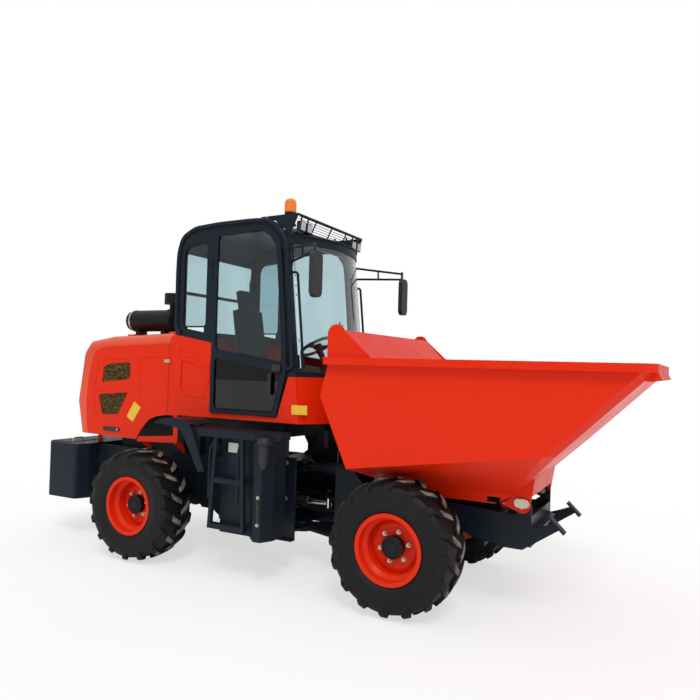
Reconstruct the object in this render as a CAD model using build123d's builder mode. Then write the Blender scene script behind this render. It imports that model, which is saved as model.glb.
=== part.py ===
from build123d import *
import os
from math import cos, radians, sin, sqrt, tan

# Articulated site dumper: cab and engine on the rear frame, front tipping skip on the front frame.
# Millimetres. +X is forward, +Y the machine's left, +Z up. The origin is on the ground, at the
# middle of the overall length, with the machine straight and the skip down.

# --- overall sizes -----------------------------------------------------------------------------
WHEELBASE = 2740.0
TRACK = 1690.0
TYRE_OD = 1075.0
TYRE_W = 400.0
FRONT_AXLE_X = 1250.0
PIVOT_X = FRONT_AXLE_X - WHEELBASE / 2  # steering pivot, half way between the axles
REAR_AXLE_X = FRONT_AXLE_X - WHEELBASE
AXLE_Z = TYRE_OD / 2
WHEEL_Y = TRACK / 2

# --- clearances --------------------------------------------------------------------------------
RUNNING = 0.05  # radial, a pin or shaft in its bore
SEAT = 0.3  # between a piece and what carries it
SWING = 5.0  # between pieces that move past each other

# --- wheels and axles --------------------------------------------------------------------------
RIM_FLANGE_R = 279.5
RIM_SEAT_R = 254.0
RIM_W = 330.0  # between the flanges
RIM_T = 8.0
DISC_OUT = 10.0  # wheel disc, outboard of the tyre's centre plane
DISC_T = 12.0
PILOT_R = 80.0
HUB_FLANGE_R = 150.0
HUB_OUT = 93.0  # planetary cap, outboard of the tyre's centre plane
HUB_IN = 125.0  # hub, inboard of the tyre's centre plane
SPINDLE_R = 45.0
AXLE_TUBE_R = 75.0
DIFF_R = 150.0
NOSE_R = 85.0
NOSE_L = 300.0  # differential nose, from the axle's centre line
SHAFT_R = 34.0
SHAFT_FLANGE_R = 58.0

# --- frames ------------------------------------------------------------------------------------
REAR_FRAME_Y = 420.0  # outer faces of the rear frame's side plates
FRONT_FRAME_Y = 385.0
PLATE = 20.0
ARM_HALF_W = 300.0
PIN_R = 35.0
LOWER_ARM_Z = 340.0  # underside of the front frame's lower pivot arm
UPPER_ARM_Z = 930.0
ARM_T = 30.0
FORK_T = 32.0
CROSS_X = PIVOT_X + 562.0  # the front frame's rear cross plate
SADDLE_Z = AXLE_Z + 103.0

# --- skip --------------------------------------------------------------------------------------
SKIP_HALF_W = 930.0
SKIP_WALL = 8.0
RIM_OVERHANG = 55.0
RIM_Z = 1950.0
RIM_H = 60.0
FLOOR_Z = 875.0
STRIP_H = 85.0
STRIP_Y = 420.0
SKIP_REAR_X = FRONT_AXLE_X - 613.0  # rear wall at the rim
KINK_X = FRONT_AXLE_X - 680.0
KINK_Z = 1686.0
FLOOR_REAR_X = FRONT_AXLE_X - 315.0
FLOOR_FRONT_X = FRONT_AXLE_X + 735.0
FRONT_SLOPE = 44.65
FOLD_Z = 1107.0  # side fold, at FOLD_X
FOLD_X = FRONT_AXLE_X - 431.0
FOLD_RISE = 0.1465
SKIP_PIVOT_X = FRONT_AXLE_X + 879.0
SKIP_PIVOT_Z = 885.0
SKIP_PIN_R = 25.0
EAR_T = 25.0

# --- cab ---------------------------------------------------------------------------------------
CAB_REAR_X = PIVOT_X - 1163.0
CAB_HALF_W = 650.0
CAB_FLOOR_Z = 1410.0
ROOF_Z = 3290.0
PILLAR_T = 50.0  # across the cab
ROOF_T = 60.0
GLASS_T = 6.0
NOSE_X = PIVOT_X + 520.0  # middle of the cab's nose, at the sill of the windscreen
POST_X = PIVOT_X + 270.0  # front posts, at the sill of the windscreen
SILL_Z = 1880.0
HEADER_Z = 3040.0
RAKE = 0.103  # rearward lean of the windscreen

# --- bonnet ------------------------------------------------------------------------------------
BONNET_HALF_W = 560.0
BONNET_FRONT_X = CAB_REAR_X - 17.0
BONNET_T = 5.0
DOOR_FRONT_X = CAB_REAR_X - 149.0
TAIL_X = REAR_AXLE_X - 1302.0  # rearmost point of the tail
SPINE_Y = 340.0

os.makedirs("parts", exist_ok=True)


def side_plane(y):
    """Sketch plane at this Y whose first axis is +X and whose second is +Z; it faces -Y."""
    return Plane(origin=(0, y, 0), x_dir=(1, 0, 0), z_dir=(0, -1, 0))


# ================================================================================= wheels, axles
WHEELS = (
    # name, axle, side: -1 is the machine's right
    ("front_right", FRONT_AXLE_X, -1),
    ("front_left", FRONT_AXLE_X, 1),
    ("rear_right", REAR_AXLE_X, -1),
    ("rear_left", REAR_AXLE_X, 1),
)
BEAD = RIM_W / 2
DISC_IN = DISC_OUT - DISC_T / 2
for name, axle_x, side in WHEELS:
    centre = (axle_x, side * WHEEL_Y, AXLE_Z)
    wheel_plane = Plane(origin=centre, x_dir=(0, side, 0), z_dir=(side, 0, 0))
    spin = Axis(centre, (0, 1, 0))

    # Tyre: open casing, its crown at the height of the lugs.
    with BuildPart() as tyre:
        with BuildSketch(wheel_plane):
            with BuildLine():
                for s in (-1, 1):
                    Line((s * (BEAD - SEAT), RIM_SEAT_R + SEAT), (s * (BEAD - SEAT), RIM_FLANGE_R + 6))
                    ThreePointArc(
                        (s * (BEAD - SEAT), RIM_FLANGE_R + 6),
                        (s * TYRE_W / 2, (RIM_FLANGE_R + TYRE_OD / 2) / 2),
                        (s * (TYRE_W / 2 - 14), TYRE_OD / 2 - 48),
                    )
                    Line((s * (TYRE_W / 2 - 14), TYRE_OD / 2 - 48), (s * (TYRE_W / 2 - 32), TYRE_OD / 2 - 22))
                    Line((s * (BEAD - SEAT), RIM_SEAT_R + SEAT), (s * (BEAD - 36), RIM_SEAT_R + SEAT))
                    Line((s * (BEAD - 36), RIM_SEAT_R + SEAT), (s * (BEAD - 10), RIM_FLANGE_R + 30))
                    ThreePointArc(
                        (s * (BEAD - 10), RIM_FLANGE_R + 30),
                        (s * (TYRE_W / 2 - 24), (RIM_FLANGE_R + TYRE_OD / 2) / 2),
                        (s * (TYRE_W / 2 - 60), TYRE_OD / 2 - 60),
                    )
                ThreePointArc(
                    (-(TYRE_W / 2 - 32), TYRE_OD / 2 - 22), (0, TYRE_OD / 2), (TYRE_W / 2 - 32, TYRE_OD / 2 - 22)
                )
                Line((-(TYRE_W / 2 - 60), TYRE_OD / 2 - 60), (TYRE_W / 2 - 60, TYRE_OD / 2 - 60))
            make_face()
        revolve(axis=spin)
    tyre.part.label = f"tyre_{name}"
    export_step(tyre.part, f"parts/{tyre.part.label}.step")

    # Rim: flanged drop-centre ring with a dished disc welded in its well.
    well_r = RIM_SEAT_R - 32
    with BuildPart() as rim:
        with BuildSketch(wheel_plane):
            with BuildLine():
                Polyline(
                    (-BEAD - RIM_T, RIM_FLANGE_R), (-BEAD, RIM_FLANGE_R), (-BEAD, RIM_SEAT_R),
                    (-BEAD + 45, RIM_SEAT_R), (-BEAD + 70, well_r), (BEAD - 95, well_r),
                    (BEAD - 70, RIM_SEAT_R), (BEAD, RIM_SEAT_R), (BEAD, RIM_FLANGE_R),
                    (BEAD + RIM_T, RIM_FLANGE_R), (BEAD + RIM_T, RIM_SEAT_R - RIM_T),
                    (BEAD - 66, RIM_SEAT_R - RIM_T), (BEAD - 92, well_r - RIM_T),
                    (-BEAD + 67, well_r - RIM_T), (-BEAD + 41, RIM_SEAT_R - RIM_T),
                    (-BEAD - RIM_T, RIM_SEAT_R - RIM_T), close=True,
                )
            make_face()
            with BuildLine():
                Polyline(
                    (DISC_IN - 26, well_r - 4), (DISC_IN - 12, well_r - 4), (DISC_IN + DISC_T, 176),
                    (DISC_IN + DISC_T, PILOT_R + 2), (DISC_IN, PILOT_R + 2), (DISC_IN, 170), close=True,
                )
            make_face()
        revolve(axis=spin)
    rim.part.label = f"rim_{name}"
    export_step(rim.part, f"parts/{rim.part.label}.step")

    # Hub: planetary end housing that the disc is bolted to, turning on the axle's spindle.
    with BuildPart() as hub:
        with BuildSketch(wheel_plane):
            with BuildLine():
                Polyline(
                    (-HUB_IN, SPINDLE_R + RUNNING), (-HUB_IN, 118), (DISC_IN - SEAT - 22, 124),
                    (DISC_IN - SEAT - 22, HUB_FLANGE_R), (DISC_IN - SEAT, HUB_FLANGE_R),
                    (DISC_IN - SEAT, PILOT_R), (HUB_OUT - 24, PILOT_R - 4), (HUB_OUT - 6, PILOT_R - 12),
                    (HUB_OUT, PILOT_R - 22), (HUB_OUT, 0), (-HUB_IN + 82, 0),
                    (-HUB_IN + 82, SPINDLE_R + RUNNING), close=True,
                )
            make_face()
        revolve(axis=spin)
    hub.part.label = f"hub_{name}"
    export_step(hub.part, f"parts/{hub.part.label}.step")

# Axle housings: differential in the middle, its nose towards the steering pivot.
TUBE_END = WHEEL_Y - HUB_IN - SWING
for name, axle_x, toward in (("front_axle", FRONT_AXLE_X, -1), ("rear_axle", REAR_AXLE_X, 1)):
    with BuildPart() as axle:
        with BuildSketch(Plane(origin=(axle_x, 0, AXLE_Z), x_dir=(0, 1, 0), z_dir=(1, 0, 0))):
            with BuildLine():
                Polyline(
                    (0, 0), (0, DIFF_R), (45, DIFF_R), (120, 105), (170, AXLE_TUBE_R + 4),
                    (TUBE_END - 110, AXLE_TUBE_R), (TUBE_END - 80, 112), (TUBE_END, 112),
                    (TUBE_END, SPINDLE_R), (TUBE_END + HUB_IN - 50, SPINDLE_R), (TUBE_END + HUB_IN - 50, 0),
                    close=True,
                )
            make_face()
        revolve(axis=Axis((axle_x, 0, AXLE_Z), (0, 1, 0)))
        mirror(about=Plane.XZ)
        nose_plane = Plane(origin=(axle_x, 0, AXLE_Z), x_dir=(0, 1, 0), z_dir=(toward, 0, 0))
        with BuildSketch(nose_plane):
            Circle(NOSE_R)
        extrude(amount=NOSE_L - 50)
        with BuildSketch(nose_plane.offset(NOSE_L - 50)):
            Circle(45)
        extrude(amount=35)
        with BuildSketch(nose_plane.offset(NOSE_L - 15)):
            Circle(SHAFT_FLANGE_R)
        extrude(amount=15)
        if name == "front_axle":
            for y in (-300, 300):
                with BuildSketch(Plane.XY.offset(AXLE_Z)):
                    with Locations((axle_x, y)):
                        Rectangle(140, 90)
                extrude(amount=SADDLE_Z - AXLE_Z)
        else:
            with BuildSketch(nose_plane):
                Circle(NOSE_R)
            extrude(amount=-(NOSE_L - 50))
    axle.part.label = name
    export_step(axle.part, f"parts/{name}.step")

# ==================================================================================== front frame
T_STOP = Vector(SKIP_PIVOT_X + 260, 0, SKIP_PIVOT_Z - 137)
NOSE_FRONT_X = SKIP_PIVOT_X + 66.0
with BuildPart() as front_frame:
    # side plates, arched over the axle and rising to the skip pivot
    for side in (-1, 1):
        with BuildSketch(side_plane(side * FRONT_FRAME_Y)):
            with BuildLine():
                Polyline(
                    (CROSS_X, 520), (CROSS_X, 1010), (CROSS_X + 163, 1010), (CROSS_X + 330, 835),
                    (SKIP_PIVOT_X - 582, 830), (SKIP_PIVOT_X - 69, 797), (NOSE_FRONT_X - 4, 892),
                    (NOSE_FRONT_X, 892), (NOSE_FRONT_X, 706), (NOSE_FRONT_X + 45, 720),
                    (T_STOP.X - 22, T_STOP.Z + 22), (T_STOP.X + 22, T_STOP.Z - 22),
                    (SKIP_PIVOT_X, 532), (SKIP_PIVOT_X - 150, 533), (FRONT_AXLE_X + 260, SADDLE_Z),
                    (FRONT_AXLE_X - 260, SADDLE_Z), (CROSS_X + 230, 520), close=True,
                )
            make_face()
            with Locations((SKIP_PIVOT_X, SKIP_PIVOT_Z)):
                Circle(SKIP_PIN_R + 30)
                Circle(SKIP_PIN_R + RUNNING, mode=Mode.SUBTRACT)
        extrude(amount=-PLATE if side < 0 else PLATE)
    # rear cross plate, front cross plate, shelf and top plate over the axle
    for x0, x1, z0, z1 in (
        (CROSS_X, CROSS_X + PLATE, 345, 1010),
        (NOSE_FRONT_X - PLATE, NOSE_FRONT_X, 560, 800),
        (NOSE_FRONT_X - 120, NOSE_FRONT_X + 60, 690, 706),
        (FRONT_AXLE_X - 260, FRONT_AXLE_X + 200, SADDLE_Z, SADDLE_Z + PLATE),
    ):
        with BuildSketch(Plane.XY.offset(z0)):
            with Locations(((x0 + x1) / 2, 0)):
                Rectangle(x1 - x0, 2 * FRONT_FRAME_Y - 2)
        extrude(amount=z1 - z0)
    # openings in them for the differential and the propeller shaft
    with BuildSketch(Plane.XY.offset(SADDLE_Z - 1)):
        with Locations((FRONT_AXLE_X, 0)):
            Rectangle(2 * DIFF_R + 20, 2 * DIFF_R)
    extrude(amount=PLATE + 2, mode=Mode.SUBTRACT)
    with BuildSketch(Plane(origin=(CROSS_X - 1, 0, AXLE_Z), x_dir=(0, 1, 0), z_dir=(1, 0, 0))):
        Circle(90)
    extrude(amount=PLATE + 2, mode=Mode.SUBTRACT)
    # pivot arms, tapering to round eyes
    for z in (LOWER_ARM_Z, UPPER_ARM_Z):
        with BuildSketch(Plane.XY.offset(z)):
            with BuildLine():
                Polyline(
                    (PIVOT_X, -90), (CROSS_X + 5, -ARM_HALF_W), (CROSS_X + 5, ARM_HALF_W), (PIVOT_X, 90),
                    close=True,
                )
            make_face()
            with Locations((PIVOT_X, 0)):
                Circle(90)
                Circle(PIN_R + RUNNING, mode=Mode.SUBTRACT)
        extrude(amount=ARM_T)
    # tipping stops at the ends of the two front arms
    for side in (-1, 1):
        y = side * (FRONT_FRAME_Y - PLATE / 2)
        with BuildSketch(Plane(origin=(T_STOP.X, y, T_STOP.Z), x_dir=(0, 1, 0), z_dir=(1, 0, 1))):
            Rectangle(80, 150)
        extrude(amount=18)
    # rest pads under the back of the skip
    for side in (-1, 1):
        with BuildSketch(Plane.XY.offset(820)):
            with Locations((FLOOR_REAR_X + 120, side * (STRIP_Y - 25))):
                Rectangle(100, 60)
        extrude(amount=FLOOR_Z - SEAT - 820)
    # lugs for the foot of the tipping cylinder, hung from a cross beam
    with BuildSketch(Plane.XY.offset(560)):
        with Locations((SKIP_PIVOT_X - 524, 0)):
            Rectangle(90, 2 * FRONT_FRAME_Y - 2)
    extrude(amount=90)
    for side in (-1, 1):
        with BuildSketch(side_plane(side * 48)):
            with BuildLine():
                Polyline(
                    (SKIP_PIVOT_X - 569, 640), (SKIP_PIVOT_X - 480, 640), (SKIP_PIVOT_X - 395, 470),
                    (SKIP_PIVOT_X - 429, 415), (SKIP_PIVOT_X - 569, 560), close=True,
                )
            make_face()
            with Locations((SKIP_PIVOT_X - 429, 450)):
                Circle(38)
        extrude(amount=-16 if side > 0 else 16)
    # foot pin of the tipping cylinder
    with BuildSketch(side_plane(-60)):
        with Locations((SKIP_PIVOT_X - 429, 450)):
            Circle(20)
    extrude(amount=-120)
    # lugs for the steering cylinder rods
    for side in (-1, 1):
        for z in (579, 686):
            with BuildSketch(Plane.XY.offset(z)):
                with BuildLine():
                    Polyline(
                        (CROSS_X + 5, side * 90), (CROSS_X + 5, side * 290), (PIVOT_X + 400, side * 215),
                        (PIVOT_X + 350, side * 190), (PIVOT_X + 350, side * 150), (PIVOT_X + 400, side * 130),
                        close=True,
                    )
                make_face()
            extrude(amount=15)
front_frame.part.label = "front_frame"
export_step(front_frame.part, "parts/front_frame.step")

# Skip pivot pins, one in each ear, with a keeper plate outside.
with BuildPart() as skip_pins:
    for side in (-1, 1):
        with BuildSketch(side_plane(side * (FRONT_FRAME_Y - PLATE - 8))):
            with Locations((SKIP_PIVOT_X, SKIP_PIVOT_Z)):
                Circle(SKIP_PIN_R)
        extrude(amount=(PLATE + EAR_T + 30) if side < 0 else -(PLATE + EAR_T + 30))
skip_pins.part.label = "skip_pins"
export_step(skip_pins.part, "parts/skip_pins.step")

# ==================================================================================== rear frame
FORK_END_X = PIVOT_X + 153.0
COUNTER_X = REAR_AXLE_X - 1070.0  # front face of the counterweight
with BuildPart() as rear_frame:
    for side in (-1, 1):
        with BuildSketch(side_plane(side * REAR_FRAME_Y)):
            with BuildLine():
                Polyline(
                    (FORK_END_X, 300), (FORK_END_X, 1070), (FORK_END_X - 330, 1070),
                    (FORK_END_X - 420, 1000), (COUNTER_X, 1000), (COUNTER_X, SADDLE_Z),
                    (REAR_AXLE_X + 280, SADDLE_Z), (REAR_AXLE_X + 420, 480), (FORK_END_X - 330, 480),
                    (FORK_END_X - 156, 300), close=True,
                )
            make_face()
        extrude(amount=-PLATE if side < 0 else PLATE)
    # foot flanges at the front end of the side plates
    with BuildSketch(Plane.XY.offset(300)):
        with Locations((FORK_END_X - 78, -REAR_FRAME_Y - 20), (FORK_END_X - 78, REAR_FRAME_Y + 20)):
            Rectangle(156, 60)
    extrude(amount=12)
    # fork plates above and below each arm of the front frame
    for z in (LOWER_ARM_Z - SWING - FORK_T, LOWER_ARM_Z + ARM_T + SWING,
              UPPER_ARM_Z - SWING - FORK_T, UPPER_ARM_Z + ARM_T + SWING):
        with BuildSketch(Plane.XY.offset(z)):
            with BuildLine():
                Polyline(
                    (PIVOT_X, -95), (PIVOT_X - 130, -REAR_FRAME_Y + 5), (PIVOT_X - 300, -REAR_FRAME_Y + 5),
                    (PIVOT_X - 300, REAR_FRAME_Y - 5), (PIVOT_X - 130, REAR_FRAME_Y - 5), (PIVOT_X, 95),
                    close=True,
                )
            make_face()
            with Locations((PIVOT_X, 0)):
                Circle(95)
                Circle(PIN_R - RUNNING, mode=Mode.SUBTRACT)
        extrude(amount=FORK_T)
    # the two pivot pins
    for z in (LOWER_ARM_Z, UPPER_ARM_Z):
        with BuildSketch(Plane.XY.offset(z - SWING - FORK_T - 12)):
            with Locations((PIVOT_X, 0)):
                Circle(PIN_R)
        extrude(amount=ARM_T + 2 * SWING + 2 * FORK_T + 24)
    # lower web that carries the bottom fork, cross plates
    for side in (-1, 1):
        with BuildSketch(side_plane(side * REAR_FRAME_Y)):
            with BuildLine():
                Polyline(
                    (PIVOT_X - 300, 298), (PIVOT_X - 300, 490), (PIVOT_X, 490), (PIVOT_X, 298), close=True,
                )
            make_face()
        extrude(amount=-PLATE if side < 0 else PLATE)
    for x, z0, z1 in (
        (PIVOT_X - 320, 303, 480), (REAR_AXLE_X + 560, 610, 740), (COUNTER_X, SADDLE_Z + 5, 995),
    ):
        with BuildSketch(Plane.XY.offset(z0)):
            with Locations((x + PLATE / 2, 0)):
                Rectangle(PLATE, 2 * REAR_FRAME_Y - 2)
        extrude(amount=z1 - z0)
    # trunnion hangers that the rear axle swings in
    for x in (REAR_AXLE_X + 195, REAR_AXLE_X - 235):
        with BuildSketch(Plane(origin=(x, 0, AXLE_Z), x_dir=(0, 1, 0), z_dir=(1, 0, 0))):
            with BuildLine():
                Polyline(
                    (-NOSE_R - 40, -20), (-NOSE_R - 60, 120), (-REAR_FRAME_Y + 5, SADDLE_Z - AXLE_Z + 20),
                    (-REAR_FRAME_Y + 5, SADDLE_Z - AXLE_Z + 80), (REAR_FRAME_Y - 5, SADDLE_Z - AXLE_Z + 80),
                    (REAR_FRAME_Y - 5, SADDLE_Z - AXLE_Z + 20), (NOSE_R + 60, 120), (NOSE_R + 40, -20),
                    close=True,
                )
            make_face()
            Circle(NOSE_R + 40)
            Circle(NOSE_R + RUNNING, mode=Mode.SUBTRACT)
        extrude(amount=40)
    # cab mounts
    for x in (CAB_REAR_X + 120, PIVOT_X - 20):
        with BuildSketch(Plane.XY.offset(990)):
            with Locations((x, -REAR_FRAME_Y + 40), (x, REAR_FRAME_Y - 40)):
                Rectangle(90, 80)
        extrude(amount=CAB_FLOOR_Z - SEAT - 990)
    # steering cylinder feet: two plates and a pin each
    for side in (-1, 1):
        for z in (579, 686):
            with BuildSketch(Plane.XY.offset(z)):
                with BuildLine():
                    Polyline(
                        (PIVOT_X - 640, side * (REAR_FRAME_Y - 10)), (PIVOT_X - 500, side * (REAR_FRAME_Y - 10)),
                        (PIVOT_X - 530, side * 285), (PIVOT_X - 600, side * 275), close=True,
                    )
                make_face()
                with Locations((PIVOT_X - 560, side * 300)):
                    Circle(34)
            extrude(amount=15)
        with BuildSketch(Plane.XY.offset(572)):
            with Locations((PIVOT_X - 560, side * 300)):
                Circle(18)
        extrude(amount=136)
rear_frame.part.label = "rear_frame"
export_step(rear_frame.part, "parts/rear_frame.step")

# =========================================================================================== skip
def front_wall_x(z):
    """X of the front wall's outer face at this height."""
    return FLOOR_FRONT_X + (z - FLOOR_Z) / tan(radians(FRONT_SLOPE))


def fold_z(x):
    """Height of the side fold at this X."""
    return FOLD_Z + FOLD_RISE * (x - FOLD_X)


FLOOR_TOP = FLOOR_Z + STRIP_H  # underside of the tub's own floor
BEVEL = (70.0, 80.0)  # front corner bevel, along X and Y
BEVEL_Z = 1339.0  # where the side fold meets the bevel
CREASE = Vector(front_wall_x(BEVEL_Z), -(SKIP_HALF_W - BEVEL[1]), BEVEL_Z)
BEVEL_FOOT = Vector(CREASE.X - BEVEL[0], -SKIP_HALF_W, BEVEL_Z)
FLOOR_CORNER = Vector(front_wall_x(FLOOR_TOP), -STRIP_Y, FLOOR_TOP)
UP_SLOPE = Vector(cos(radians(FRONT_SLOPE)), 0, sin(radians(FRONT_SLOPE)))
UPPER_BEVEL = (CREASE - BEVEL_FOOT).cross(UP_SLOPE).normalized()
LOWER_BEVEL = (CREASE - BEVEL_FOOT).cross(BEVEL_FOOT - FLOOR_CORNER).normalized()

# The tub as two closed forms, its outside and its inside, each bounded by the side profile, the
# twisted lower side panels and the bevelled front corners.
tub = {}
for form, wall, top in (("outside", 0.0, RIM_Z), ("inside", SKIP_WALL, RIM_Z + 120)):
    with BuildPart() as body:
        for x in (KINK_X - 40, front_wall_x(RIM_Z) + 80):
            with BuildSketch(Plane(origin=(x, 0, 0), x_dir=(0, 1, 0), z_dir=(1, 0, 0))):
                floor_z = FLOOR_TOP + wall if wall else FLOOR_Z
                half = [
                    (STRIP_Y - wall, floor_z), (STRIP_Y - wall / 2, FLOOR_TOP + wall),
                    (SKIP_HALF_W - wall, fold_z(x) + wall / 2), (SKIP_HALF_W - wall, top),
                ]
                half = half[1:] if wall else half
                Polygon(*half, *[(-y, z) for y, z in reversed(half)], align=None)
        loft(ruled=True)
        with BuildSketch(side_plane(-SKIP_HALF_W)):
            Polygon(
                (SKIP_REAR_X, top), (SKIP_REAR_X, RIM_Z), (KINK_X, KINK_Z), (FLOOR_REAR_X, FLOOR_Z),
                (FLOOR_FRONT_X, FLOOR_Z), (front_wall_x(RIM_Z), RIM_Z), (front_wall_x(RIM_Z), top), align=None,
            )
            if wall:
                offset(amount=-wall, kind=Kind.INTERSECTION)
                with Locations(((SKIP_REAR_X + front_wall_x(RIM_Z)) / 2, top - wall)):
                    Rectangle(front_wall_x(RIM_Z) - SKIP_REAR_X - 2 * wall, 2 * wall)
        extrude(amount=-2 * SKIP_HALF_W, mode=Mode.INTERSECT)
        for normal in (UPPER_BEVEL, LOWER_BEVEL):
            for side in (1, -1):
                out = Vector(normal.X, normal.Y * side, normal.Z)
                at = Vector(BEVEL_FOOT.X, BEVEL_FOOT.Y * side, BEVEL_FOOT.Z) - out * wall
                split(bisect_by=Plane(origin=at, z_dir=out), keep=Keep.BOTTOM)
    tub[form] = body.part

RIM_FRONT_X = front_wall_x(RIM_Z) + 26
HEAD_Z = 2234.0  # top of the spill guard
EAR_Y0 = FRONT_FRAME_Y + SWING
TIP_FOOT = Vector(SKIP_PIVOT_X - 429, 0, 450)
TIP_EYE = Vector(SKIP_PIVOT_X - 229, 0, 815)
with BuildPart() as skip:
    add(tub["outside"])
    # box rim round the mouth
    with BuildSketch(Plane.XY.offset(RIM_Z)):
        with BuildLine():
            Polyline(
                (SKIP_REAR_X - 17, SKIP_HALF_W + RIM_OVERHANG), (SKIP_REAR_X - 17, -SKIP_HALF_W - RIM_OVERHANG),
                (RIM_FRONT_X - 60, -SKIP_HALF_W - RIM_OVERHANG), (RIM_FRONT_X, -SKIP_HALF_W + 20),
                (RIM_FRONT_X, SKIP_HALF_W - 20), (RIM_FRONT_X - 60, SKIP_HALF_W + RIM_OVERHANG), close=True,
            )
        make_face()
    extrude(amount=RIM_H)
    # lip bar under the front rim
    with BuildSketch(side_plane(-SKIP_HALF_W + BEVEL[1])):
        Polygon(
            (front_wall_x(1893) - 3, 1893), (RIM_FRONT_X - 45, 1889), (RIM_FRONT_X + 22, 1899),
            (RIM_FRONT_X, RIM_Z), (front_wall_x(RIM_Z) - 3, RIM_Z), align=None,
        )
    extrude(amount=-2 * (SKIP_HALF_W - BEVEL[1]))
    add(tub["inside"], mode=Mode.SUBTRACT)
    # open space between the floor strips
    with BuildSketch(side_plane(-STRIP_Y + 10)):
        Polygon(
            (FLOOR_REAR_X + 14, FLOOR_Z - 5), (FLOOR_REAR_X - 20, FLOOR_TOP),
            (front_wall_x(FLOOR_TOP) - 14, FLOOR_TOP), (FLOOR_FRONT_X - 14, FLOOR_Z - 5), align=None,
        )
    extrude(amount=-2 * (STRIP_Y - 10), mode=Mode.SUBTRACT)
    # pocket near the front of each floor strip
    with BuildSketch(side_plane(-STRIP_Y - 5)):
        with Locations((FLOOR_FRONT_X - 80, FLOOR_Z + 32)):
            Rectangle(110, 44)
    extrude(amount=-2 * STRIP_Y - 10, mode=Mode.SUBTRACT)
    # spill guard: hollow wedge between two rounded ears
    with BuildSketch(side_plane(-SKIP_HALF_W + 5)):
        Polygon(
            (SKIP_REAR_X - 1, RIM_Z + RIM_H - 2), (SKIP_REAR_X - 1, HEAD_Z), (SKIP_REAR_X + 149, HEAD_Z),
            (SKIP_REAR_X + 375, RIM_Z + RIM_H), (SKIP_REAR_X + 366, RIM_Z + RIM_H),
            (SKIP_REAR_X + 146, HEAD_Z - 6), (SKIP_REAR_X + 5, HEAD_Z - 6), (SKIP_REAR_X + 5, RIM_Z + RIM_H - 2),
            align=None,
        )
    extrude(amount=-2 * SKIP_HALF_W + 10)
    for side in (-1, 1):
        with BuildSketch(side_plane(side * (SKIP_HALF_W + 3))):
            with BuildLine():
                Polyline(
                    (SKIP_REAR_X + 149, HEAD_Z), (SKIP_REAR_X + 381, RIM_Z + RIM_H + 16),
                    (SKIP_REAR_X + 381, RIM_Z + RIM_H - 2), (SKIP_REAR_X - 7, RIM_Z + RIM_H - 2),
                    (SKIP_REAR_X - 7, HEAD_Z - 41),
                )
                ThreePointArc(
                    (SKIP_REAR_X - 7, HEAD_Z - 41), (SKIP_REAR_X + 66, HEAD_Z + 48), (SKIP_REAR_X + 149, HEAD_Z)
                )
            make_face()
        extrude(amount=-8 if side < 0 else 8)
    # pivot ears either side of the frame's nose, tied by a web
    wall_in = Vector(-sin(radians(FRONT_SLOPE)), 0, cos(radians(FRONT_SLOPE))) * 4
    ear_top = Vector(SKIP_PIVOT_X + 96, 0, FLOOR_Z + (SKIP_PIVOT_X + 96 - FLOOR_FRONT_X) * tan(radians(FRONT_SLOPE)))
    for side in (-1, 1):
        with BuildSketch(side_plane(side * EAR_Y0)):
            Polygon(
                (FLOOR_FRONT_X - 10, FLOOR_Z + 2), (ear_top.X + wall_in.X, ear_top.Z + wall_in.Z),
                (ear_top.X, ear_top.Z - 2), (SKIP_PIVOT_X + 60, SKIP_PIVOT_Z + 14),
                (SKIP_PIVOT_X - 28, SKIP_PIVOT_Z - 55), align=None,
            )
            with Locations((SKIP_PIVOT_X, SKIP_PIVOT_Z)):
                Circle(62)
                Circle(SKIP_PIN_R + RUNNING, mode=Mode.SUBTRACT)
        extrude(amount=EAR_T if side < 0 else -EAR_T)
    with BuildSketch(side_plane(-EAR_Y0)):
        Polygon(
            (ear_top.X + wall_in.X, ear_top.Z + wall_in.Z), (ear_top.X, ear_top.Z - 2),
            (SKIP_PIVOT_X + 72, SKIP_PIVOT_Z + 75), (SKIP_PIVOT_X + 62, SKIP_PIVOT_Z + 75),
            (ear_top.X - 12 + wall_in.X, ear_top.Z - 10 + wall_in.Z), align=None,
        )
    extrude(amount=-2 * EAR_Y0)
    # lugs for the tipping cylinder's rod under the floor
    for side in (-1, 1):
        with BuildSketch(side_plane(side * 48)):
            Polygon(
                (TIP_EYE.X - 90, FLOOR_TOP + 4), (TIP_EYE.X + 90, FLOOR_TOP + 4), (TIP_EYE.X + 34, TIP_EYE.Z),
                (TIP_EYE.X - 34, TIP_EYE.Z), align=None,
            )
            with Locations((TIP_EYE.X, TIP_EYE.Z)):
                Circle(38)
                Circle(21, mode=Mode.SUBTRACT)
        extrude(amount=16 if side < 0 else -16)
skip.part.label = "skip"
export_step(skip.part, "parts/skip.step")

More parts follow.
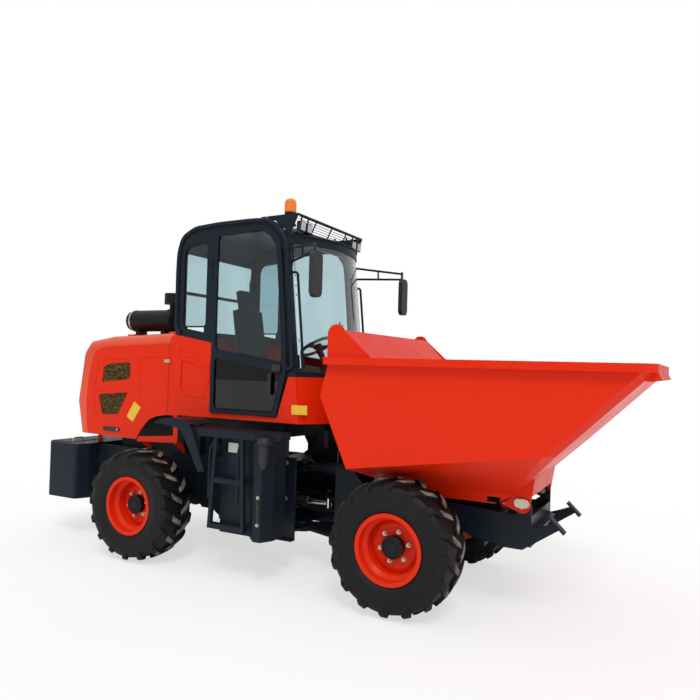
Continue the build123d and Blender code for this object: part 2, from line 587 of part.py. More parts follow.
# ====================================================================================== cylinders
STEER_FOOT = Vector(PIVOT_X - 560, -300, 640)
STEER_EYE = Vector(PIVOT_X + 380, -175, 640)
PISTON_T = 14.0
GLAND_L = 16.0
CYLINDERS = (
    # name, foot, eye, second axis, barrel radius, rod radius, pin, barrel end, piston, half width
    ("tip", TIP_FOOT, TIP_EYE, Vector(0, -1, 0), 46, 28, 20, 382, 56, 46),
    ("steer_right", STEER_FOOT, STEER_EYE, Vector(0, 0, 1), 42, 24, 18, 735, 560, 44),
    ("steer_left", Vector(STEER_FOOT.X, -STEER_FOOT.Y, STEER_FOOT.Z),
     Vector(STEER_EYE.X, -STEER_EYE.Y, STEER_EYE.Z), Vector(0, 0, 1), 42, 24, 18, 735, 560, 44),
)
for name, foot, eye, pin_dir, barrel_r, rod_r, pin_r, barrel_end, piston, half in CYLINDERS:
    along = (eye - foot).normalized()
    length = (eye - foot).length
    plane = Plane(origin=foot, x_dir=along, z_dir=pin_dir)
    bore_r = barrel_r - 8
    with BuildPart() as barrel:
        with BuildSketch(plane):
            Polygon(
                (34, 0), (34, barrel_r), (barrel_end, barrel_r), (barrel_end, rod_r + RUNNING),
                (barrel_end - GLAND_L, rod_r + RUNNING), (barrel_end - GLAND_L, bore_r), (54, bore_r), (54, 0), align=None,
            )
        revolve(axis=Axis(foot, along))
        with BuildSketch(plane.offset(-half)):
            Circle(pin_r + 16)
            with Locations((30, 0)):
                Rectangle(36, 2 * pin_r)
        extrude(amount=2 * half)
        with BuildSketch(plane.offset(-half)):
            Circle(pin_r + RUNNING)
        extrude(amount=2 * half, mode=Mode.SUBTRACT)
    with BuildPart() as rod:
        with BuildSketch(plane):
            Polygon(
                (piston, 0), (piston, bore_r - RUNNING), (piston + PISTON_T, bore_r - RUNNING), (piston + PISTON_T, rod_r),
                (length - 20, rod_r), (length - 20, 0), align=None,
            )
        revolve(axis=Axis(foot, along))
        with BuildSketch(Plane(origin=eye, x_dir=along, z_dir=pin_dir).offset(-half)):
            Circle(pin_r + 10)
        extrude(amount=2 * half)
        with BuildSketch(Plane(origin=eye, x_dir=along, z_dir=pin_dir).offset(-half)):
            Circle(pin_r)
        extrude(amount=2 * half, mode=Mode.SUBTRACT)
    group, _, hand = name.partition("_")
    tail = f"_{hand}" if hand else ""
    barrel.part.label = f"{group}_barrel{tail}"
    rod.part.label = f"{group}_rod{tail}"
    export_step(barrel.part, f"parts/{barrel.part.label}.step")
    export_step(rod.part, f"parts/{rod.part.label}.step")

# ============================================================================================ cab
DOOR_SIDE = (  # door outline, X and Z
    (PIVOT_X - 695, 1473), (PIVOT_X - 695, 3021), (PIVOT_X + 94, 2990), (PIVOT_X + 198, 1874),
    (PIVOT_X + 74, 1456),
)
ROOF_FRONT_X = POST_X - RAKE * (ROOF_Z - SILL_Z)
QUARTER = (  # quarter window outline, X and Z
    (CAB_REAR_X + 108, 2275), (CAB_REAR_X + 108, 3080), (CAB_REAR_X + 358, 3100), (CAB_REAR_X + 358, 2232),
)
BELT_REAR_Z = 2212.0
BELT_FRONT_Z = 2132.0
REAR_WINDOW_Z = (2260.0, 3080.0)
ARC_R = (CAB_HALF_W**2 + (NOSE_X - POST_X) ** 2) / (2 * (NOSE_X - POST_X))


def front_arc(inset, thickness, back=0.0):
    """Plan ring of the cab's curved front at the windscreen sill; back runs its ends into the posts."""
    with BuildSketch() as ring:
        with Locations((NOSE_X - ARC_R, 0)):
            Circle(ARC_R - inset)
            Circle(ARC_R - inset - thickness, mode=Mode.SUBTRACT)
        with Locations((NOSE_X, 0)):
            Rectangle(2 * (NOSE_X - POST_X + back), 2 * CAB_HALF_W, mode=Mode.INTERSECT)
    return ring.sketch


def lean(z0, z1):
    """Extrusion direction up the raked front between two heights."""
    return Vector(-RAKE * (z1 - z0), 0, z1 - z0)


DOOR_OUT = CAB_HALF_W + 4.0  # outer face of the door leaf
DOOR_T = 36.0
HINGE_X = DOOR_SIDE[0][0] - 10.0
HINGE_Y = DOOR_OUT + 14.0
HINGE_R = 11.0
HINGE_PIN_R = 6.0
KNUCKLE_L = 110.0
LOWER_HINGE_Z = 1800.0
UPPER_HINGE_Z = 2780.0


def post_x(z):
    """Front edge of the raked front posts at height z."""
    return POST_X - RAKE * (z - SILL_Z)


def door_hinge(side, z):
    """The cab's half of a door hinge: a lug above and below the door's knuckle, and the pin."""
    with BuildPart() as half:
        for lug_z in (z - 28, z + KNUCKLE_L + 3):
            with BuildSketch(Plane.XY.offset(lug_z)):
                with Locations((HINGE_X, side * HINGE_Y)):
                    Circle(HINGE_R)
                    Polygon(
                        (-45, -side * 20), (-45, -side * 12), (-8, side * 7), (8, -side * 7), (-2, -side * 20),
                        align=None,
                    )
            extrude(amount=25)
        with BuildSketch(Plane.XY.offset(z - 28)):
            with Locations((HINGE_X, side * HINGE_Y)):
                Circle(HINGE_PIN_R)
        extrude(amount=KNUCKLE_L + 56)
    return half.part



with BuildPart() as cab_frame:
    # side frames: posts, belt and roof rail in one pressing, with door and quarter window cut
    for side in (-1, 1):
        with BuildSketch(side_plane(side * CAB_HALF_W)):
            with BuildSketch(mode=Mode.PRIVATE) as outline:
                Polygon(
                    (CAB_REAR_X, BELT_REAR_Z), (CAB_REAR_X, ROOF_Z), (ROOF_FRONT_X, ROOF_Z), (POST_X, SILL_Z),
                    (POST_X, SILL_Z - 50), (PIVOT_X - 700, SILL_Z - 50), (PIVOT_X - 700, BELT_FRONT_Z),
                    align=None,
                )
                fillet(outline.vertices().group_by(Axis.Y)[-1], 150)
            add(outline.sketch)
            with BuildSketch(mode=Mode.PRIVATE) as door_hole:
                Polygon(*DOOR_SIDE, align=None)
                fillet(door_hole.vertices().group_by(Axis.Y)[-1], 90)
                fillet(door_hole.vertices().sort_by(Axis.Y)[:2], 20)
                offset(amount=SWING)
            add(door_hole.sketch, mode=Mode.SUBTRACT)
            with BuildSketch(mode=Mode.PRIVATE) as quarter_hole:
                Polygon(*QUARTER, align=None)
                fillet(quarter_hole.vertices().sort_by(Axis.Y)[-2:].sort_by(Axis.X)[0], 80)
            add(quarter_hole.sketch, mode=Mode.SUBTRACT)
        extrude(amount=-PILLAR_T if side < 0 else PILLAR_T)
    # roof, curving down into the rear wall, with a bowed front edge
    with BuildSketch(side_plane(-CAB_HALF_W)):
        with BuildSketch(mode=Mode.PRIVATE) as hoop:
            Rectangle(ROOF_FRONT_X - CAB_REAR_X, 400, align=(Align.MIN, Align.MAX))
            fillet(hoop.vertices().group_by(Axis.Y)[-1], 150)
            offset(amount=-ROOF_T, mode=Mode.SUBTRACT)
            with Locations((0, -190)):
                Rectangle(ROOF_FRONT_X - CAB_REAR_X, 220, align=(Align.MIN, Align.MAX), mode=Mode.SUBTRACT)
        add(hoop.sketch.moved(Location((CAB_REAR_X, ROOF_Z, 0))))
    extrude(amount=-2 * CAB_HALF_W)
    with BuildSketch(Plane.XY.offset(ROOF_Z - 150)):
        add(front_arc(0, 90).moved(Location((-RAKE * (ROOF_Z - 150 - SILL_Z), 0, 0))))
    extrude(amount=90)
    with BuildSketch(Plane.XY.offset(ROOF_Z - 62)):
        with Locations((NOSE_X - ARC_R - RAKE * (ROOF_Z - SILL_Z), 0)):
            Circle(ARC_R)
        with Locations((ROOF_FRONT_X - 90, 0)):
            Rectangle(400, 2 * CAB_HALF_W, align=(Align.MIN, Align.CENTER), mode=Mode.INTERSECT)
    extrude(amount=40)
    # windscreen sill and header
    for z0, z1 in ((SILL_Z - 50, SILL_Z), (HEADER_Z, ROOF_Z - 150)):
        with BuildSketch(Plane.XY.offset(z0)):
            add(front_arc(0, 40, 15).moved(Location((-RAKE * (z0 - SILL_Z), 0, 0))))
        extrude(amount=lean(z0, z1).length, dir=lean(z0, z1))
    # rear wall frame above the belt, with the crossbar of the rear window
    with BuildSketch(Plane(origin=(CAB_REAR_X, 0, 0), x_dir=(0, 1, 0), z_dir=(1, 0, 0))):
        with Locations((0, (BELT_REAR_Z + ROOF_Z - 150) / 2)):
            Rectangle(2 * CAB_HALF_W - 2, ROOF_Z - 150 - BELT_REAR_Z)
        with Locations((0, sum(REAR_WINDOW_Z) / 2)):
            RectangleRounded(2 * CAB_HALF_W - 180, REAR_WINDOW_Z[1] - REAR_WINDOW_Z[0], 80, mode=Mode.SUBTRACT)
        with Locations((0, sum(REAR_WINDOW_Z) / 2 - 30)):
            Rectangle(2 * CAB_HALF_W - 170, 30)
    extrude(amount=30)
    # lifting eyes on the roof
    for x, y in ((CAB_REAR_X + 900, -500), (CAB_REAR_X + 900, 510)):
        with BuildSketch(side_plane(y)):
            with Locations((x, ROOF_Z + 20)):
                Circle(22)
                Circle(11, mode=Mode.SUBTRACT)
        extrude(amount=10)
    for side in (-1, 1):
        add(door_hinge(side, UPPER_HINGE_Z))
cab_frame.part.label = "cab_frame"
export_step(cab_frame.part, "parts/cab_frame.step")

# Lower cab: painted rear side panels, door sills, nose and floor.
with BuildPart() as cab_lower:
    for side in (-1, 1):
        with BuildSketch(side_plane(side * CAB_HALF_W)):
            Polygon(
                (CAB_REAR_X, CAB_FLOOR_Z), (CAB_REAR_X, BELT_REAR_Z - SEAT),
                (PIVOT_X - 700 - SEAT, BELT_FRONT_Z - SEAT), (PIVOT_X - 700 - SEAT, SILL_Z - 50 - SEAT),
                (POST_X, SILL_Z - 50 - SEAT), (POST_X + 43, CAB_FLOOR_Z), align=None,
            )
            with BuildSketch(mode=Mode.PRIVATE) as door_hole:
                Polygon(*DOOR_SIDE, align=None)
                offset(amount=SWING, kind=Kind.INTERSECTION)
            add(door_hole.sketch, mode=Mode.SUBTRACT)
        extrude(amount=-PILLAR_T if side < 0 else PILLAR_T)
        # pressed panel below the quarter window
        with BuildSketch(side_plane(side * CAB_HALF_W)):
            with BuildSketch(mode=Mode.PRIVATE) as press:
                Polygon(
                    (CAB_REAR_X + 60, 1640), (CAB_REAR_X + 60, 2090), (CAB_REAR_X + 380, 1990),
                    (CAB_REAR_X + 380, 1640), align=None,
                )
                fillet(press.vertices(), 30)
            add(press.sketch)
        extrude(amount=-6 if side < 0 else 6, mode=Mode.SUBTRACT)
    with BuildSketch(Plane.XY.offset(CAB_FLOOR_Z)):
        add(front_arc(0, 30).moved(Location((RAKE * (SILL_Z - CAB_FLOOR_Z), 0, 0))))
    extrude(amount=lean(CAB_FLOOR_Z, SILL_Z - 50 - SEAT).length, dir=lean(CAB_FLOOR_Z, SILL_Z - 50 - SEAT))
    with BuildSketch(Plane.XY.offset(CAB_FLOOR_Z)):
        with Locations((CAB_REAR_X, 0)):
            Rectangle(30, 2 * CAB_HALF_W - 2, align=(Align.MIN, Align.CENTER))
    extrude(amount=BELT_REAR_Z - 8 - CAB_FLOOR_Z)
    with BuildSketch(Plane.XY.offset(CAB_FLOOR_Z)):
        with Locations((CAB_REAR_X + 5, 0)):
            Rectangle(POST_X + 46 - CAB_REAR_X, 2 * CAB_HALF_W - 2 * PILLAR_T + 4, align=(Align.MIN, Align.CENTER))
    extrude(amount=30)
    for side in (-1, 1):
        add(door_hinge(side, LOWER_HINGE_Z))
cab_lower.part.label = "cab_lower"
export_step(cab_lower.part, "parts/cab_lower.step")

# Windscreen: one bent pane between sill and header.
with BuildPart() as windshield:
    with BuildSketch(Plane.XY.offset(SILL_Z + SEAT)):
        add(front_arc(12, GLASS_T))
        with Locations((NOSE_X - 200, 0)):
            Rectangle(600, 2 * CAB_HALF_W - 2 * PILLAR_T - 2 * SEAT, mode=Mode.INTERSECT)
    extrude(amount=lean(SILL_Z, HEADER_Z - 2 * SEAT).length, dir=lean(SILL_Z, HEADER_Z - 2 * SEAT))
windshield.part.label = "windshield"
export_step(windshield.part, "parts/windshield.step")

with BuildPart() as rear_window:
    with BuildSketch(Plane(origin=(CAB_REAR_X - GLASS_T - SEAT, 0, 0), x_dir=(0, 1, 0), z_dir=(1, 0, 0))):
        with Locations((0, sum(REAR_WINDOW_Z) / 2)):
            RectangleRounded(2 * CAB_HALF_W - 150, REAR_WINDOW_Z[1] - REAR_WINDOW_Z[0] + 30, 90)
    extrude(amount=GLASS_T)
rear_window.part.label = "rear_window"
export_step(rear_window.part, "parts/rear_window.step")

with BuildPart() as quarter_windows:
    for side in (-1, 1):
        with BuildSketch(side_plane(side * (CAB_HALF_W - 16))):
            with BuildSketch(mode=Mode.PRIVATE) as pane:
                Polygon(*QUARTER, align=None)
                fillet(pane.vertices().sort_by(Axis.Y)[-2:].sort_by(Axis.X)[0], 80)
                offset(amount=-SEAT, kind=Kind.INTERSECTION)
            add(pane.sketch)
        extrude(amount=-GLASS_T if side < 0 else GLASS_T)
quarter_windows.part.label = "quarter_windows"
export_step(quarter_windows.part, "parts/quarter_windows.step")

# Doors: one frame with a rail at waist height, glazed above and below.
for hand, side in (("right", -1), ("left", 1)):
    with BuildPart() as door:
        with BuildSketch(side_plane(side * DOOR_OUT)):
            with BuildSketch(mode=Mode.PRIVATE) as leaf:
                Polygon(*DOOR_SIDE, align=None)
                fillet(leaf.vertices().group_by(Axis.Y)[-1], 90)
                fillet(leaf.vertices().sort_by(Axis.Y)[:2], 20)
            add(leaf.sketch)
            with BuildSketch(mode=Mode.PRIVATE) as lights:
                add(leaf.sketch)
                offset(amount=-56, kind=Kind.INTERSECTION)
                with BuildSketch(mode=Mode.SUBTRACT):
                    Polygon(
                        (PIVOT_X - 695, 2138), (PIVOT_X + 198, 1984), (PIVOT_X + 198, 1864),
                        (PIVOT_X - 695, 2018), align=None,
                    )
            add(lights.sketch, mode=Mode.SUBTRACT)
        extrude(amount=-DOOR_T if side < 0 else DOOR_T)
        # lock and handle near the front of the waist rail
        with BuildSketch(side_plane(side * DOOR_OUT)):
            with Locations(Location((PIVOT_X + 60, 1940, 0), -9.8)):
                RectangleRounded(150, 46, 12)
        extrude(amount=28 if side < 0 else -28)
        # hinge knuckles on the rear edge
        for z in (LOWER_HINGE_Z, UPPER_HINGE_Z):
            with BuildSketch(Plane.XY.offset(z)):
                with Locations((HINGE_X, side * HINGE_Y)):
                    Circle(HINGE_R)
                with Locations((HINGE_X + 29, side * (DOOR_OUT + 4))):
                    Rectangle(58, 10)
                with Locations((HINGE_X, side * HINGE_Y)):
                    Circle(HINGE_PIN_R + RUNNING, mode=Mode.SUBTRACT)
            extrude(amount=KNUCKLE_L)
    door.part.label = f"door_{hand}"
    export_step(door.part, f"parts/door_{hand}.step")
    with BuildPart() as glass:
        with BuildSketch(side_plane(side * (DOOR_OUT - 14))):
            with BuildSketch(mode=Mode.PRIVATE) as panes:
                add(lights.sketch)
                offset(amount=-SEAT, kind=Kind.INTERSECTION)
            add(panes.sketch)
        extrude(amount=-GLASS_T if side < 0 else GLASS_T)
    glass.part.label = f"door_glass_{hand}"
    export_step(glass.part, f"parts/door_glass_{hand}.step")

# Seat, steering column and wheel.
SEAT_X = PIVOT_X - 480.0
with BuildPart() as seat_base:
    with BuildSketch(Plane.XY.offset(CAB_FLOOR_Z + 30)):
        with Locations((SEAT_X, 0)):
            Rectangle(460, 420)
    with BuildSketch(Plane.XY.offset(CAB_FLOOR_Z + 310)):
        with Locations((SEAT_X, 0)):
            Rectangle(400, 360)
    loft(ruled=True)
seat_base.part.label = "seat_base"
export_step(seat_base.part, "parts/seat_base.step")
with BuildPart() as seat_cushion:
    with BuildSketch(Plane.XY.offset(CAB_FLOOR_Z + 310 + SEAT)):
        with Locations((SEAT_X + 20, 0)):
            RectangleRounded(500, 500, 60)
    extrude(amount=130)
    fillet(seat_cushion.faces().sort_by(Axis.Z)[-1].edges(), 40)
seat_cushion.part.label = "seat_cushion"
export_step(seat_cushion.part, "parts/seat_cushion.step")
with BuildPart() as seat_back:
    back_plane = Plane(
        origin=(SEAT_X - 175, 0, CAB_FLOOR_Z + 440 + 2 * SEAT), x_dir=(0, 1, 0), z_dir=(-0.17, 0, 1)
    )
    with BuildSketch(back_plane.offset(-15)):
        RectangleRounded(460, 120, 40)
    extrude(amount=675)
    with BuildSketch(back_plane.offset(660)):
        RectangleRounded(280, 90, 35)
    extrude(amount=230)
    split(bisect_by=Plane.XY.offset(CAB_FLOOR_Z + 440 + 2 * SEAT), keep=Keep.TOP)
seat_back.part.label = "seat_back"
export_step(seat_back.part, "parts/seat_back.step")
WHEEL_AT = Vector(PIVOT_X + 110, 0, 2120)
COLUMN_DIR = Vector(-0.5, 0, 0.866)
with BuildPart() as steering_column:
    column_plane = Plane(origin=WHEEL_AT, x_dir=(0, 1, 0), z_dir=COLUMN_DIR)
    with BuildSketch(column_plane):
        Circle(190)
        Circle(165, mode=Mode.SUBTRACT)
        Rectangle(340, 30)
        Circle(45)
    extrude(amount=24)
    with BuildSketch(column_plane):
        Circle(30)
    extrude(amount=-330)
    with BuildSketch(Plane.XY.offset(CAB_FLOOR_Z + 30)):
        with Locations((WHEEL_AT.X + 155, 0)):
            Rectangle(130, 200)
    extrude(amount=480)
steering_column.part.label = "steering_column"
export_step(steering_column.part, "parts/steering_column.step")

# Sun and lamp guard across the front of the roof.
GUARD_HALF_W = CAB_HALF_W - 130.0
SLOT_PITCH = 44.0
with BuildPart() as roof_guard:
    for side in (-1, 1):
        with BuildSketch(side_plane(side * GUARD_HALF_W)):
            Polygon(
                (ROOF_FRONT_X - 360, ROOF_Z + 42), (ROOF_FRONT_X + 13, ROOF_Z + 74), (ROOF_FRONT_X + 200, ROOF_Z - 80),
                (ROOF_FRONT_X + 192, ROOF_Z - 90), (ROOF_FRONT_X + 100, ROOF_Z + SEAT), (ROOF_FRONT_X - 200, ROOF_Z + SEAT),
                align=None,
            )
        extrude(amount=-6 if side < 0 else 6)
    # sheet bowed like the cab's front, leaning forward and down from its top edge
    top_arc = front_arc(0, 8).moved(Location((ROOF_FRONT_X + 15 - POST_X - 110, 0, 0)))
    with BuildSketch(Plane.XY.offset(ROOF_Z + 74)):
        add(top_arc)
        with Locations((ROOF_FRONT_X + 100, 0)):
            Rectangle(600, 2 * GUARD_HALF_W, mode=Mode.INTERSECT)
    extrude(amount=Vector(185, 0, -155).length, dir=Vector(185, 0, -155))
    arc_x = NOSE_X - ARC_R + ROOF_FRONT_X - 95 - POST_X
    with BuildSketch(Plane.XY.offset(ROOF_Z - 90)):
        with Locations((ROOF_FRONT_X + 150, 0)):
            with GridLocations(0, SLOT_PITCH, 1, int(2 * GUARD_HALF_W / SLOT_PITCH)):
                Rectangle(600, SLOT_PITCH - 18)
        with Locations((arc_x + 160, 0)):
            Circle(ARC_R, mode=Mode.INTERSECT)
        with Locations((arc_x + 22, 0)):
            Circle(ARC_R, mode=Mode.SUBTRACT)
    extrude(amount=170, mode=Mode.SUBTRACT)
roof_guard.part.label = "roof_guard"
export_step(roof_guard.part, "parts/roof_guard.step")

with BuildPart() as work_lights:
    for y in (-470, -375, 375, 470):
        lamp_z = HEADER_Z + 70
        header_x = NOSE_X - ARC_R - RAKE * (lamp_z - 12 - SILL_Z) + (ARC_R**2 - (abs(y) - 12) ** 2) ** 0.5
        with BuildSketch(Plane(origin=(header_x + SEAT, y, lamp_z), x_dir=(0, 1, 0), z_dir=(1, 0, 0))):
            Rectangle(24, 24)
        extrude(amount=36)
        lamp_plane = Plane(origin=(header_x + 34, y, lamp_z), x_dir=(0, 1, 0), z_dir=(1, 0, -0.1))
        with BuildSketch(lamp_plane):
            RectangleRounded(84, 84, 12)
        extrude(amount=48)
work_lights.part.label = "work_lights"
export_step(work_lights.part, "parts/work_lights.step")

with BuildPart() as beacon:
    with BuildSketch(side_plane(-300)):
        with BuildLine():
            base_z = ROOF_Z + SEAT
            at_x = ROOF_FRONT_X - 190
            Polyline(
                (at_x, base_z), (at_x + 58, base_z), (at_x + 58, base_z + 20), (at_x + 20, base_z + 20),
                (at_x + 20, base_z + 118), (at_x + 58, base_z + 118), (at_x + 54, base_z + 240),
                (at_x + 40, base_z + 262), (at_x, base_z + 268), close=True,
            )
        make_face()
    revolve(axis=Axis((at_x, -300, 0), (0, 0, 1)))
beacon.part.label = "beacon"
export_step(beacon.part, "parts/beacon.step")

# Mirrors on two-bar arms from the front posts, grab rails below them, wiper.
for hand, side in (("right", -1), ("left", 1)):
    with BuildPart() as mirror_arm:
        head_x, head_y = PIVOT_X + 660.0, side * 930.0
        with BuildSketch(side_plane(side * (CAB_HALF_W - 6))):
            Polygon(
                (post_x(2850) + SEAT, 2850), (post_x(3030) + SEAT, 3030), (post_x(3030) + 16, 3030),
                (post_x(2850) + 16, 2850), align=None,
            )
        extrude(amount=-32 if side < 0 else 32)
        for z in (2880, 3000):
            with BuildLine() as arm:
                Polyline(
                    (post_x(z) + 10, side * (CAB_HALF_W - 22), z), (head_x - 60, head_y, 2900 if z < 2950 else 2960)
                )
            with BuildSketch(Plane(origin=arm.line @ 0, z_dir=arm.line % 0)):
                Circle(9)
            sweep(path=arm.line)
        with BuildSketch(Plane.XY.offset(2870)):
            with Locations((head_x - 60, head_y)):
                Circle(13)
        extrude(amount=105)
        with BuildSketch(Plane(origin=(head_x - 66, head_y, 2705), x_dir=(0, 1, 0), z_dir=(1, 0, 0))):
            RectangleRounded(150, 390, 60)
        extrude(amount=45)
    mirror_arm.part.label = f"mirror_{hand}"
    export_step(mirror_arm.part, f"parts/mirror_{hand}.step")

with BuildPart() as grab_rails:
    for side in (-1, 1):
        low = Vector(post_x(1900) + 70, side * (CAB_HALF_W - 20), 1900)
        high = Vector(post_x(2780) + 70, side * (CAB_HALF_W - 20), 2780)
        stand_off = Vector(70 - 12 * RAKE - SEAT, 0, 0)
        with BuildLine() as rail:
            FilletPolyline(low - stand_off, low, high, high - stand_off, radius=30)
        with BuildSketch(Plane(origin=rail.line @ 0, z_dir=rail.line % 0)):
            Circle(12)
        sweep(path=rail.line)
grab_rails.part.label = "grab_rails"
export_step(grab_rails.part, "parts/grab_rails.step")

with BuildPart() as wiper:
    wiper_x = NOSE_X + RAKE * 27 + SEAT
    for y0, z0, y1, z1, r in ((-60, SILL_Z - 20, -250, 2350, 6), (-60, SILL_Z - 20, -200, 2330, 5)):
        with BuildLine() as arm:
            Line((wiper_x + 16, y0, z0), (wiper_x - RAKE * (z1 - SILL_Z) + 10, y1, z1))
        with BuildSketch(Plane(origin=arm.line @ 0, z_dir=arm.line % 0)):
            Circle(r)
        sweep(path=arm.line)
    with BuildSketch(Plane(origin=(wiper_x, -60, SILL_Z - 20), x_dir=(0, 1, 0), z_dir=(1, 0, 0))):
        Circle(22)
    extrude(amount=24)
wiper.part.label = "wiper"
export_step(wiper.part, "parts/wiper.step")

# ========================================================================================= bonnet
TOP_FRONT_Z = 2245.0
ARCH = (  # lower edge over the rear wheel, X and Z, from the tail forward
    (TAIL_X + 75, 1129), (REAR_AXLE_X - 375, 1116), (REAR_AXLE_X - 322, 1214), (REAR_AXLE_X - 228, 1325),
    (REAR_AXLE_X - 120, 1393), (BONNET_FRONT_X, 1393),
)
with BuildPart() as bonnet_form:
    with BuildSketch(side_plane(-BONNET_HALF_W)):
        Polygon(
            *ARCH, (BONNET_FRONT_X, TOP_FRONT_Z), (TAIL_X + 470, 2200), (TAIL_X + 150, 2150),
            (TAIL_X + 92, 2080), (TAIL_X, 1480), align=None,
        )
    extrude(amount=-2 * BONNET_HALF_W)
    fillet(
        bonnet_form.edges().filter_by(lambda e: abs(abs(e.center().Y) - BONNET_HALF_W) < 1 and e.center().Z > 2090), 110
    )
    fillet(
        bonnet_form.edges().filter_by(
            lambda e: abs(abs(e.center().Y) - BONNET_HALF_W) < 1 and e.center().X < TAIL_X + 60 and e.center().Z > 1150
        ),
        60,
    )
    bottom_faces = bonnet_form.faces().filter_by(
        lambda f: f.center().X > BONNET_FRONT_X - 1 or (f.center().Z < 1395 and f.normal_at(f.center()).Z < 0 and f.center().X > TAIL_X + 76)
    )
    offset(amount=-BONNET_T, openings=bottom_faces)

REAR_SEAM = ((TAIL_X + 172, 2300), (TAIL_X + 130, 2050), (TAIL_X + 42, 1480), (TAIL_X + 100, 1000))
with BuildPart() as door_zone:
    with BuildSketch(side_plane(-BONNET_HALF_W - 40)):
        Polygon(*REAR_SEAM, (DOOR_FRONT_X, 1000), (DOOR_FRONT_X, 2300), align=None)
    extrude(amount=-(BONNET_HALF_W + 40 - SPINE_Y))

VENTS = (  # outline of each mesh opening, X and Z
    ((-2395, 1960), (-2395, 2045), (-2300, 2070), (-2180, 2075), (-2165, 1960)),
    ((-2430, 1790), (-2390, 1585), (-2250, 1580), (-2190, 1690), (-2165, 1800)),
)
GAP = 3.0  # shut line round the doors
TOP_SLOPE = (TOP_FRONT_Z - 2200.0) / (BONNET_FRONT_X - TAIL_X - 470)
HINGE_LIFT = 16.0  # hinge pins above the bonnet's top
KNUCKLES = (BONNET_FRONT_X - 300, BONNET_FRONT_X - 900)


def bonnet_top(x):
    """Height of the bonnet's top between the cab and the drop at its tail."""
    return TOP_FRONT_Z - TOP_SLOPE * (BONNET_FRONT_X - x)


def hinge_plane(side, x):
    """Plane across a bonnet hinge: origin on the pin, first axis +Y, second axis up."""
    pin = Vector(x, side * (SPINE_Y - GAP / 2), bonnet_top(x) + HINGE_LIFT)
    return Plane(origin=pin, x_dir=(0, 1, 0), z_dir=(1, 0, TOP_SLOPE))


def hinge_leaf(way):
    """Knuckle with its leaf flat on the sheet; way is the leaf's side, +1 or -1 along Y."""
    with BuildSketch() as leaf_section:
        Circle(HINGE_R)
        Polygon(
            (way * 42, -HINGE_LIFT - 1), (way * 42, -HINGE_LIFT + 4), (way * 16, -HINGE_LIFT + 4), (way * 8, 6),
            (-way * 2, -10.5), (way * 6, -HINGE_LIFT - 1), align=None,
        )
    return leaf_section.sketch


for hand, side in (("right", -1), ("left", 1)):
    with BuildPart() as side_door:
        add(bonnet_form.part)
        add(door_zone.part if side < 0 else door_zone.part.mirror(Plane.XZ), mode=Mode.INTERSECT)
        for outline in VENTS:
            with BuildSketch(side_plane(side * (BONNET_HALF_W + 1))):
                with BuildSketch(mode=Mode.PRIVATE) as vent:
                    Polygon(*outline, align=None)
                    fillet(vent.vertices(), 18)
                add(vent.sketch)
            extrude(amount=-20 if side < 0 else 20, mode=Mode.SUBTRACT)
        for x in KNUCKLES:
            with BuildSketch(hinge_plane(side, x).offset(-27)):
                add(hinge_leaf(side))
                Circle(HINGE_PIN_R + RUNNING, mode=Mode.SUBTRACT)
            extrude(amount=54)
    side_door.part.label = f"bonnet_door_{hand}"
    export_step(side_door.part, f"parts/bonnet_door_{hand}.step")

CW_TOP_Z = 1015.0
with BuildPart() as bonnet:
    add(bonnet_form.part)
    for side in (-1, 1):
        with BuildSketch(side_plane(side * (BONNET_HALF_W + 40))):
            Polygon(*REAR_SEAM, (DOOR_FRONT_X, 1000), (DOOR_FRONT_X, 2300), align=None)
            offset(amount=GAP, kind=Kind.INTERSECTION)
        door_depth = BONNET_HALF_W + 40 - SPINE_Y + GAP
        extrude(amount=-door_depth if side < 0 else door_depth, mode=Mode.SUBTRACT)
        # leg of the front hoop and the bar under the doors
        with BuildSketch(side_plane(side * BONNET_HALF_W)):
            Polygon(
                (BONNET_FRONT_X, 1410), (BONNET_FRONT_X, 1118), (REAR_AXLE_X - 368, 1094),
                (REAR_AXLE_X - 340, 1147), (BONNET_FRONT_X - 56, 1186), (BONNET_FRONT_X - 56, 1410), align=None,
            )
        extrude(amount=-8 if side < 0 else 8)
        # brackets from the bar down to the top of the side plates
        for x in (BONNET_FRONT_X - 40, REAR_AXLE_X - 320):
            with BuildSketch(Plane(origin=(x, 0, 0), x_dir=(0, 1, 0), z_dir=(1, 0, 0))):
                Polygon(
                    (side * (BONNET_HALF_W - 4), 1105), (side * (BONNET_HALF_W - 4), 1140),
                    (side * (BONNET_HALF_W - 30), 1140), (side * (REAR_FRAME_Y - PLATE), 1040),
                    (side * (REAR_FRAME_Y - PLATE), 1000 + SEAT), (side * REAR_FRAME_Y, 1000 + SEAT), align=None,
                )
            extrude(amount=12)
        # tail gussets standing on the counterweight
        with BuildSketch(side_plane(side * 305)):
            Polygon(
                (TAIL_X + 77.5, CW_TOP_Z + SEAT), (TAIL_X + 150, CW_TOP_Z + SEAT), (TAIL_X + 41, 1300),
                (TAIL_X + 77.5, 1129), align=None,
            )
        extrude(amount=-10 if side < 0 else 10)
        for x in KNUCKLES:
            for start in (-57, 30):
                with BuildSketch(hinge_plane(side, x).offset(start)):
                    add(hinge_leaf(-side))
                extrude(amount=27)
            with BuildSketch(hinge_plane(side, x).offset(-57)):
                Circle(HINGE_PIN_R)
            extrude(amount=114)
bonnet.part.label = "bonnet"
export_step(bonnet.part, "parts/bonnet.step")

